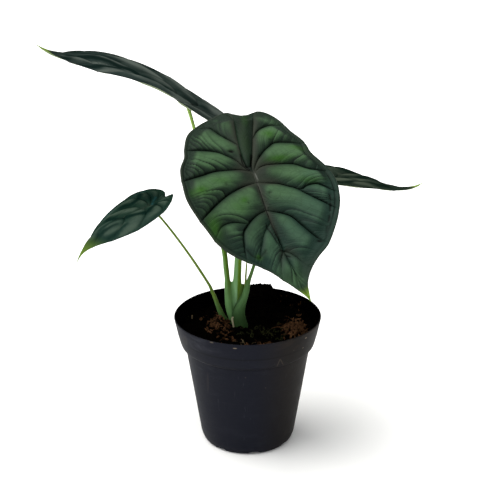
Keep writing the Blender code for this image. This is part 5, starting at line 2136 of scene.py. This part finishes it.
FRONT_VIVID = (
    Mark(-0.285, -0.092, 0.045, 0.02, 15, 1), Mark(-0.285, -0.255, 0.03, 0.05, -20, 0.8),
    Mark(0.125, 0.07, 0.06, 0.018, 8, 0.9), Mark(0.102, 0.225, 0.03, 0.025, 0, 0.9),
    Mark(0.226, 0.14, 0.035, 0.02, 0, 0.7), Mark(0.23, -0.08, 0.06, 0.02, -12, 0.5),
    Mark(-0.132, -0.176, 0.04, 0.03, 0, 0.4), Mark(-0.172, -0.044, 0.05, 0.018, 0, 0.5),
    Mark(0, 0.32, 0.018, 0.05, 0, 0.5), Mark(-0.095, -0.144, 0.022, 0.014, 20, 0.9),
    Mark(-0.014, 0.18, 0.018, 0.08, 0, 0.35), Mark(-0.136, -0.41, 0.016, 0.012, 0, 0.8),
    Mark(-0.206, -0.426, 0.014, 0.012, 0, 0.4),
)
# painted light and shade patches of the front blade
FRONT_TONES = (
    Mark(-0.004, 0.23, 0.036, 0.2, 0, -0.75), Mark(-0.004, 0.3, 0.016, 0.08, 0, 0.4),
    Mark(-0.15, 0.33, 0.08, 0.06, 20, -0.4), Mark(0.11, 0.345, 0.07, 0.035, -25, 0.8),
    Mark(-0.135, 0.337, 0.035, 0.018, 10, 0.85), Mark(0.034, -0.337, 0.03, 0.09, 20, -0.4),
    Mark(-0.205, -0.3, 0.03, 0.05, 0, -0.25), Mark(-0.075, -0.475, 0.04, 0.04, 0, 0.7),
    Mark(-0.11, -0.545, 0.04, 0.05, 0, 0.3), Mark(0.303, -0.044, 0.022, 0.06, 0, -0.6),
    Mark(-0.317, -0.012, 0.02, 0.06, 0, -0.3), Mark(-0.02, -0.54, 0.06, 0.05, 0, 0.55),
    Mark(0, -0.47, 0.06, 0.04, 0, 0.4), Mark(0.11, 0.235, 0.06, 0.03, 0, 0.7),
    Mark(0.19, 0.11, 0.08, 0.03, -8, 0.6), Mark(-0.17, 0.17, 0.09, 0.022, -33, 0.55),
    Mark(-0.22, 0.06, 0.06, 0.028, -20, 0.3), Mark(-0.21, -0.05, 0.09, 0.03, 12, 0.45),
    Mark(-0.15, -0.2, 0.08, 0.05, 40, 0.35), Mark(0.2, -0.05, 0.09, 0.022, -18, 0.45),
    Mark(0.11, -0.13, 0.09, 0.04, -25, 0.25), Mark(-0.06, -0.3, 0.03, 0.06, 0, 0.35),
    Mark(0.08, -0.34, 0.05, 0.07, 0, 0.2), Mark(0, 0.01, 0.11, 0.06, 0, -0.45),
    Mark(0.15, -0.36, 0.09, 0.09, 0, -0.3), Mark(0, 0.31, 0.1, 0.06, 0, -0.25),
    Mark(-0.03, -0.56, 0.08, 0.05, 0, 0.45), Mark(-0.235, -0.066, 0.06, 0.016, 14, 0.6),
)
FRONT_DENTS = (
    Mark(-0.083, 0.117, 0.014, 0.007, -10, 1.4), Mark(0.104, 0.193, 0.009, 0.004, 0, 0.5),
    Mark(0.043, 0.095, 0.008, 0.005, 40, 0.7), Mark(0.163, -0.421, 0.013, 0.006, -30, 1.2),
    Mark(0.04, -0.119, 0.01, 0.006, 0, 0.7), Mark(-0.152, -0.063, 0.01, 0.008, 0, 0.5),
    Mark(-0.007, -0.402, 0.02, 0.003, -10, 1), Mark(0.007, -0.432, 0.016, 0.003, -45, 1),
    Mark(-0.094, -0.402, 0.01, 0.008, 0, 0.4), Mark(-0.084, -0.16, 0.012, 0.003, -10, 0.6),
    Streak(((-0.041, 0.1), (-0.041, 0.055), (-0.034, 0.038), (-0.02, 0.034), (-0.006, 0.044),
        (0.004, 0.095)), 0.0045, 0.9),
    Streak(((0.296, -0.195), (0.291, -0.225)), 0.0045, 0.8),
    Streak(((0.283, -0.245), (0.268, -0.285)), 0.005, 0.9),
    Streak(((0.256, -0.31), (0.238, -0.343)), 0.005, 0.9),
    Streak(((0.222, -0.366), (0.206, -0.392)), 0.004, 0.6),
    Streak(((-0.03, -0.27), (-0.022, -0.345), (-0.012, -0.385)), 0.0045, 0.8),
    Streak(((-0.178, -0.369), (-0.163, -0.399), (-0.138, -0.412), (-0.115, -0.402),
        (-0.091, -0.386)), 0.0045, 0.6),
)

# the side blades' painted light and shade streaks, and their green or blue gleams
HIGH_TONES = (
    Mark(-0.1, 0.06, 0.05, 0.05, 0, -0.6), Mark(-0.185, -0.02, 0.03, 0.03, 0, -0.5),
    Streak(((0.02, -0.53), (-0.046, -0.48), (-0.062, -0.4), (-0.05, -0.34), (-0.02, -0.3), (-0.012, -0.2),
        (0.065, -0.15), (0.08, -0.05), (0, 0.02)), 0.024, -1),
    Streak(((0.082, -0.52), (0.1, -0.435), (0.08, -0.354), (0.06, -0.31)), 0.02, -1),
    Streak(((-0.086, -0.48), (-0.14, -0.4), (-0.162, -0.35), (-0.134, -0.298)), 0.014, -0.7),
    Streak(((-0.235, -0.292), (-0.264, -0.21), (-0.255, -0.16)), 0.02, -0.8),
    Streak(((0.2, -0.414), (0.197, -0.331)), 0.012, -0.5), Mark(0.055, -0.215, 0.08, 0.034, 14, -1),
    Mark(-0.01, -0.245, 0.05, 0.032, 0, -0.8), Mark(0.06, -0.08, 0.07, 0.045, 10, -1),
    Mark(-0.05, -0.01, 0.06, 0.045, 0, -0.6), Mark(-0.124, -0.118, 0.03, 0.018, 0, -0.7),
    Mark(-0.11, -0.07, 0.06, 0.03, 0, -0.3),
    Streak(((-0.012, -0.53), (-0.008, -0.49), (-0.018, -0.45), (-0.006, -0.4), (0.006, -0.344)), 0.017, 1),
    Streak(((-0.072, -0.477), (-0.122, -0.4), (-0.105, -0.34), (-0.076, -0.302)), 0.014, 0.8),
    Streak(((0.149, -0.404), (0.14, -0.36), (0.123, -0.3), (0.197, -0.248)), 0.024, 0.9),
    Streak(((-0.194, -0.3), (-0.172, -0.24), (-0.188, -0.193), (-0.14, -0.155)), 0.032, 1),
    Streak(((0.36, -0.13), (0.34, -0.071), (0.24, 0.028)), 0.034, 0.8),
    Streak(((-0.24, -0.09), (-0.2, -0.04)), 0.03, 0.5),
)
HIGH_VIVID = (Mark(0.04, -0.215, 0.06, 0.03, 14, 0.9), Mark(0.05, -0.08, 0.05, 0.035, 0, 0.9))
FAR_TONES = (
    Streak(((0.23, -0.2), (0.208, -0.252), (0.152, -0.279), (0.139, -0.317), (0.19, -0.4)), 0.03, -0.9),
    Streak(((-0.1, -0.17), (-0.05, -0.21), (-0.018, -0.25), (0, -0.3), (0.05, -0.35),
        (0.073, -0.428)), 0.024, -1),
    Streak(((-0.265, -0.148), (-0.232, -0.189), (-0.19, -0.25), (-0.12, -0.325), (-0.133, -0.358),
        (-0.096, -0.42)), 0.02, -0.8),
    Streak(((-0.31, -0.22), (-0.286, -0.3)), 0.022, -0.7),
    Streak(((0.068, -0.235), (0.068, -0.258), (0.106, -0.308)), 0.02, 0.9),
    Streak(((-0.176, -0.15), (-0.148, -0.207), (-0.1, -0.27), (-0.03, -0.34), (-0.015, -0.42)), 0.02, 0.8),
    Streak(((-0.224, -0.24), (-0.206, -0.301), (-0.224, -0.34)), 0.018, 0.7),
)
LOW_TONES = (
    Streak(((-0.142, -0.25), (-0.02, -0.243), (0.03, -0.2), (0.075, -0.166), (0.13, -0.08), (0.11, 0.02),
        (0.07, 0.074)), 0.034, -0.75),
    Streak(((0.157, -0.26), (0.153, -0.356), (0.132, -0.417)), 0.022, -0.5),
    Streak(((0.072, -0.29), (0.056, -0.353), (0.05, -0.42), (0.035, -0.484)), 0.022, -0.5),
    Streak(((-0.215, -0.11), (-0.167, -0.05), (-0.245, 0.082)), 0.032, -0.7),
    Streak(((0.3, 0), (0.24, 0.06)), 0.03, -0.2), Mark(-0.11, 0.13, 0.11, 0.12, 0, -0.7),
    Mark(0.19, -0.07, 0.07, 0.05, 0, -0.5),
    Streak(((-0.3, -0.08), (-0.284, -0.126), (-0.261, -0.196), (-0.23, -0.26)), 0.022, 0.9),
    Streak(((-0.095, -0.15), (-0.027, -0.112)), 0.026, 0.4),
    Streak(((-0.09, -0.33), (-0.06, -0.37), (0.008, -0.457)), 0.028, 0.7),
    Streak(((0.02, -0.3), (0.024, -0.34)), 0.018, 0.6),
    Streak(((0.093, -0.39), (0.116, -0.327), (0.11, -0.253)), 0.018, 0.6),
    Streak(((0.231, -0.25), (0.205, -0.34)), 0.028, 0.8), Mark(0.202, 0.117, 0.03, 0.04, 0, 0.3),
    Mark(0.2, -0.23, 0.08, 0.22, 0, 0.15), Mark(-0.26, -0.02, 0.04, 0.03, 0, 0.3),
    Mark(0.28, -0.1, 0.05, 0.2, 0, 0.25),
)
LOW_VIVID = (
    Streak(((-0.069, 0.192), (-0.03, 0.11), (0, 0.05)), 0.012, 0.8),
    Streak(((0.06, 0.16), (0.03, 0.09), (0.01, 0.05)), 0.01, 0.6), Mark(-0.285, 0.11, 0.018, 0.07, 0, 0.7),
    Mark(-0.29, -0.18, 0.03, 0.09, 0, 0.3),
)


FRONT_POSE = Pose((5, -31, 240), -74, -38, -3, 172, pitch=(-28, 43, -8), sway=(36, -12), twist=(-14, 41),
                  fold=(0, 31), droop=22)
HIGH_POSE = Pose((-50.6, 82.1, 266.9), 172.2, 33, 10.9, 207.5, 0.81, belly=-0.74, pitch=(-5.5, -342, 572),
                 sway=(50.4, -4.6), twist=(6.2, -10.4), fold=(3.6, 0.4))
FAR_POSE = Pose((37.3, 21.4, 216.6), 10.2, 8.4, -13, 179.5, 0.72, belly=-0.08,
                pitch=(-21.9, -362.5, 672.3), sway=(26.1, 14), twist=(64.9, -92.8), fold=(4.9, -6.5),
                droop=-9.1)
LOW_POSE = Pose((-78.3, 2.8, 202.6), 209, -16, 10, 117.6, 1.02, 0.45, -0.69, pitch=(37, -148, -43),
                sway=(14.5, -7), twist=(2.4, 28.7), fold=(5, -43), droop=-3)

# where the loose bits lie
EVERYWHERE = (Mark(0, 0, 400, 400),)
COIR_SPOTS = (
    Mark(-23.5, -5, 6.5, 8, 0, 1.3), Mark(-28, 7, 5, 4, 0, 0.8), Mark(40, -9, 8.5, 12, 25, 1.3),
    Mark(10, -34, 12, 4, 0, 0.8), Mark(-16, -24, 9, 6, 0, 0.25), Mark(40, 16, 8, 14, 0, 0.2),
    Mark(-36, 20, 9, 12, 0, 0.1),
)
STRAND_SPOTS = (Mark(37, -16, 7, 9), Mark(-24, -7, 5, 5, 0, 0.5))
MOSS_SPOTS = (Mark(17, -8, 9, 8), Mark(-4, -14, 9, 4, 0, 0.6), Mark(26, -14, 5, 9, 0, 0.5))
STRAW_SPOTS = (Mark(-44, 13, 4, 6, 0, 0.35), Mark(-6, -28, 6, 3, 0, 0.6), Mark(16, -26, 8, 3, 0, 0.3))
PALE_SPOTS = (Mark(-5, -30, 7, 5), Mark(-38, 8, 4, 4, 0, 0.3))
LITTER = (
    Litter("peat_crumbs", BitShape.LUMP, PEAT, EVERYWHERE, 170000, (1.0, 2.6), 3),
    Litter("coir_chips", BitShape.CHIP, COIR, COIR_SPOTS, 260000, (2.2, 6.0), 5, 0.8),
    Litter("coir_fibres", BitShape.FIBRE, COIR, COIR_SPOTS, 150000, (3.5, 9.0), 6, 1.8, 0.6),
    Litter("coir_strands", BitShape.FIBRE, COIR, STRAND_SPOTS, 40000, (9.0, 17.0), 9, 3.0, 0.25),
    Litter("moss_curls", BitShape.CURL, MOSS, MOSS_SPOTS, 150000, (2.0, 4.8), 7, 0.9, 1.2),
    Litter("straw_bits", BitShape.CHIP, STRAW, STRAW_SPOTS, 60000, (1.8, 4.6), 8, 0.9),
    Litter("straw_fibres", BitShape.FIBRE, STRAW, PALE_SPOTS, 60000, (3.0, 8.0), 10, 2.4, 0.5),
)


def plans() -> tuple[LeafPlan, LeafPlan]:
    """Draw the two plans.

    Returns:
        The front blade's plan, and the plainer one that the other blades share.
    """
    right, left = ([(f"{side} {name}", parent if parent == "midrib" else f"{side} {parent}", row,
                     mirrored(points) if side == "left" else points)
                    for name, parent, row, points in SIDE_VEINS] for side in ("right", "left"))
    front = LeafPlan(FRONT_OUTLINE_RIGHT, FRONT_NOTCH, FRONT_OUTLINE_LEFT, FRONT_VEINS, 0.024, 0.004,
                     VEIN_LOOKS, FRONT_HEM, FRONT_RIDGES)
    side = LeafPlan(SIDE_OUTLINE, SIDE_NOTCH, mirrored(SIDE_OUTLINE), (*right, *reversed(left)), 0.015, 0.002)
    return front, side


@dataclass
class PottedAlocasia:
    """The whole plant in its pot."""

    def build(self) -> None:
        """Build every piece and tie it to the frame."""
        self.blades()
        self.stalks()
        self.tie(NurseryPot(POT).build(), "pot", "pot")
        bed = SoilBed(PEAT)
        self.tie(bed.build(), "soil", "soil")
        for litter in LITTER:
            self.tie(litter.build(bed), "soil", "soil")

    def blades(self) -> None:
        """Build the four blades."""
        front, side = plans()
        blades = (
            Blade("blade_front", front, FRONT_POSE, LEAF, 26, vivid=FRONT_VIVID, tones=FRONT_TONES,
                  dents=FRONT_DENTS, seed=4),
            Blade("blade_high_left", side, HIGH_POSE, SIDE_LEAF, tones=HIGH_TONES, vivid=HIGH_VIVID, seed=11,
                  fold_height=0.35),
            Blade("blade_right", side, FAR_POSE, FAR_LEAF, tones=FAR_TONES, seed=12, fold_height=0.35),
            Blade("blade_low_left", side, LOW_POSE, LOW_LEAF, tones=LOW_TONES, vivid=LOW_VIVID, seed=13,
                  fold_height=0.25, rib_depth=0.0),
        )
        for blade in blades:
            self.tie(blade.build(), blade.name, "blade")

    def stalks(self) -> None:
        """Build the stalks and the shoot, then the skins that join them and the dry scrap."""
        front = Stalk("petiole_front", FRONT_STALK, FRONT_TINTS, PALE_STALK, FRONT_POSE, split=(0.12, 0.5))
        rear = Stalk("petiole_high_left", HIGH_STALK, HIGH_TINTS, REAR_STALK, HIGH_POSE, split=(-0.05, 0.45))
        right = Stalk("petiole_right", RIGHT_STALK, RIGHT_TINTS, PALE_STALK, FAR_POSE, split=(-0.72, 0.5))
        low = Stalk("petiole_low_left", LOW_STALK, LOW_TINTS, OLIVE_STALK, LOW_POSE)
        shoot = Stalk("new_shoot", SHOOT, SHOOT_TINTS, SHOOT_SKIN)
        middle_web = Stalk("middle_web", MIDDLE_WEB, MIDDLE_TINTS, PALE_STALK, rings=60)
        right_web = Stalk("right_web", RIGHT_WEB, RIGHT_WEB_TINTS, PALE_STALK, rings=60)
        sheaths = Crown("joined_sheaths", (front, rear, middle_web, right_web), PALE_STALK)
        skins = (
            (front, "petiole_front", "stalk"), (rear, "petiole_high_left", "stalk"),
            (right, "petiole_right", "stalk"), (low, "petiole_low_left", "olive_stalk"),
            (shoot, "new_shoot", "shoot"), (sheaths, "petiole_front", "stalk"),
            (Stalk("low_web", LOW_WEB, LOW_TINTS, OLIVE_STALK, rings=60), "petiole_low_left", "olive_stalk"),
            (Stalk("sheath_scrap", SCRAP, SCRAP_TINTS, DRY_SKIN, rings=60), "petiole_right", "stalk"),
        )
        for skin, node, slot in skins:
            self.tie(skin.build(), node, slot)

    @staticmethod
    def tie(piece: Object, node: str, slot: str) -> None:
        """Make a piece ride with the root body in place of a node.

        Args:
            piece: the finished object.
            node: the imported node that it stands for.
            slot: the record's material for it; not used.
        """
        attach(piece, "root")
        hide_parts(node)
        LOG.info("%s: %d faces", piece.name, len(piece.data.polygons))


def main() -> None:
    """Dress the frame."""
    logging.basicConfig(level=logging.INFO, format="%(name)s: %(message)s")
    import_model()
    Studio().build()
    PottedAlocasia().build()


if __name__ == "__main__":
    main()
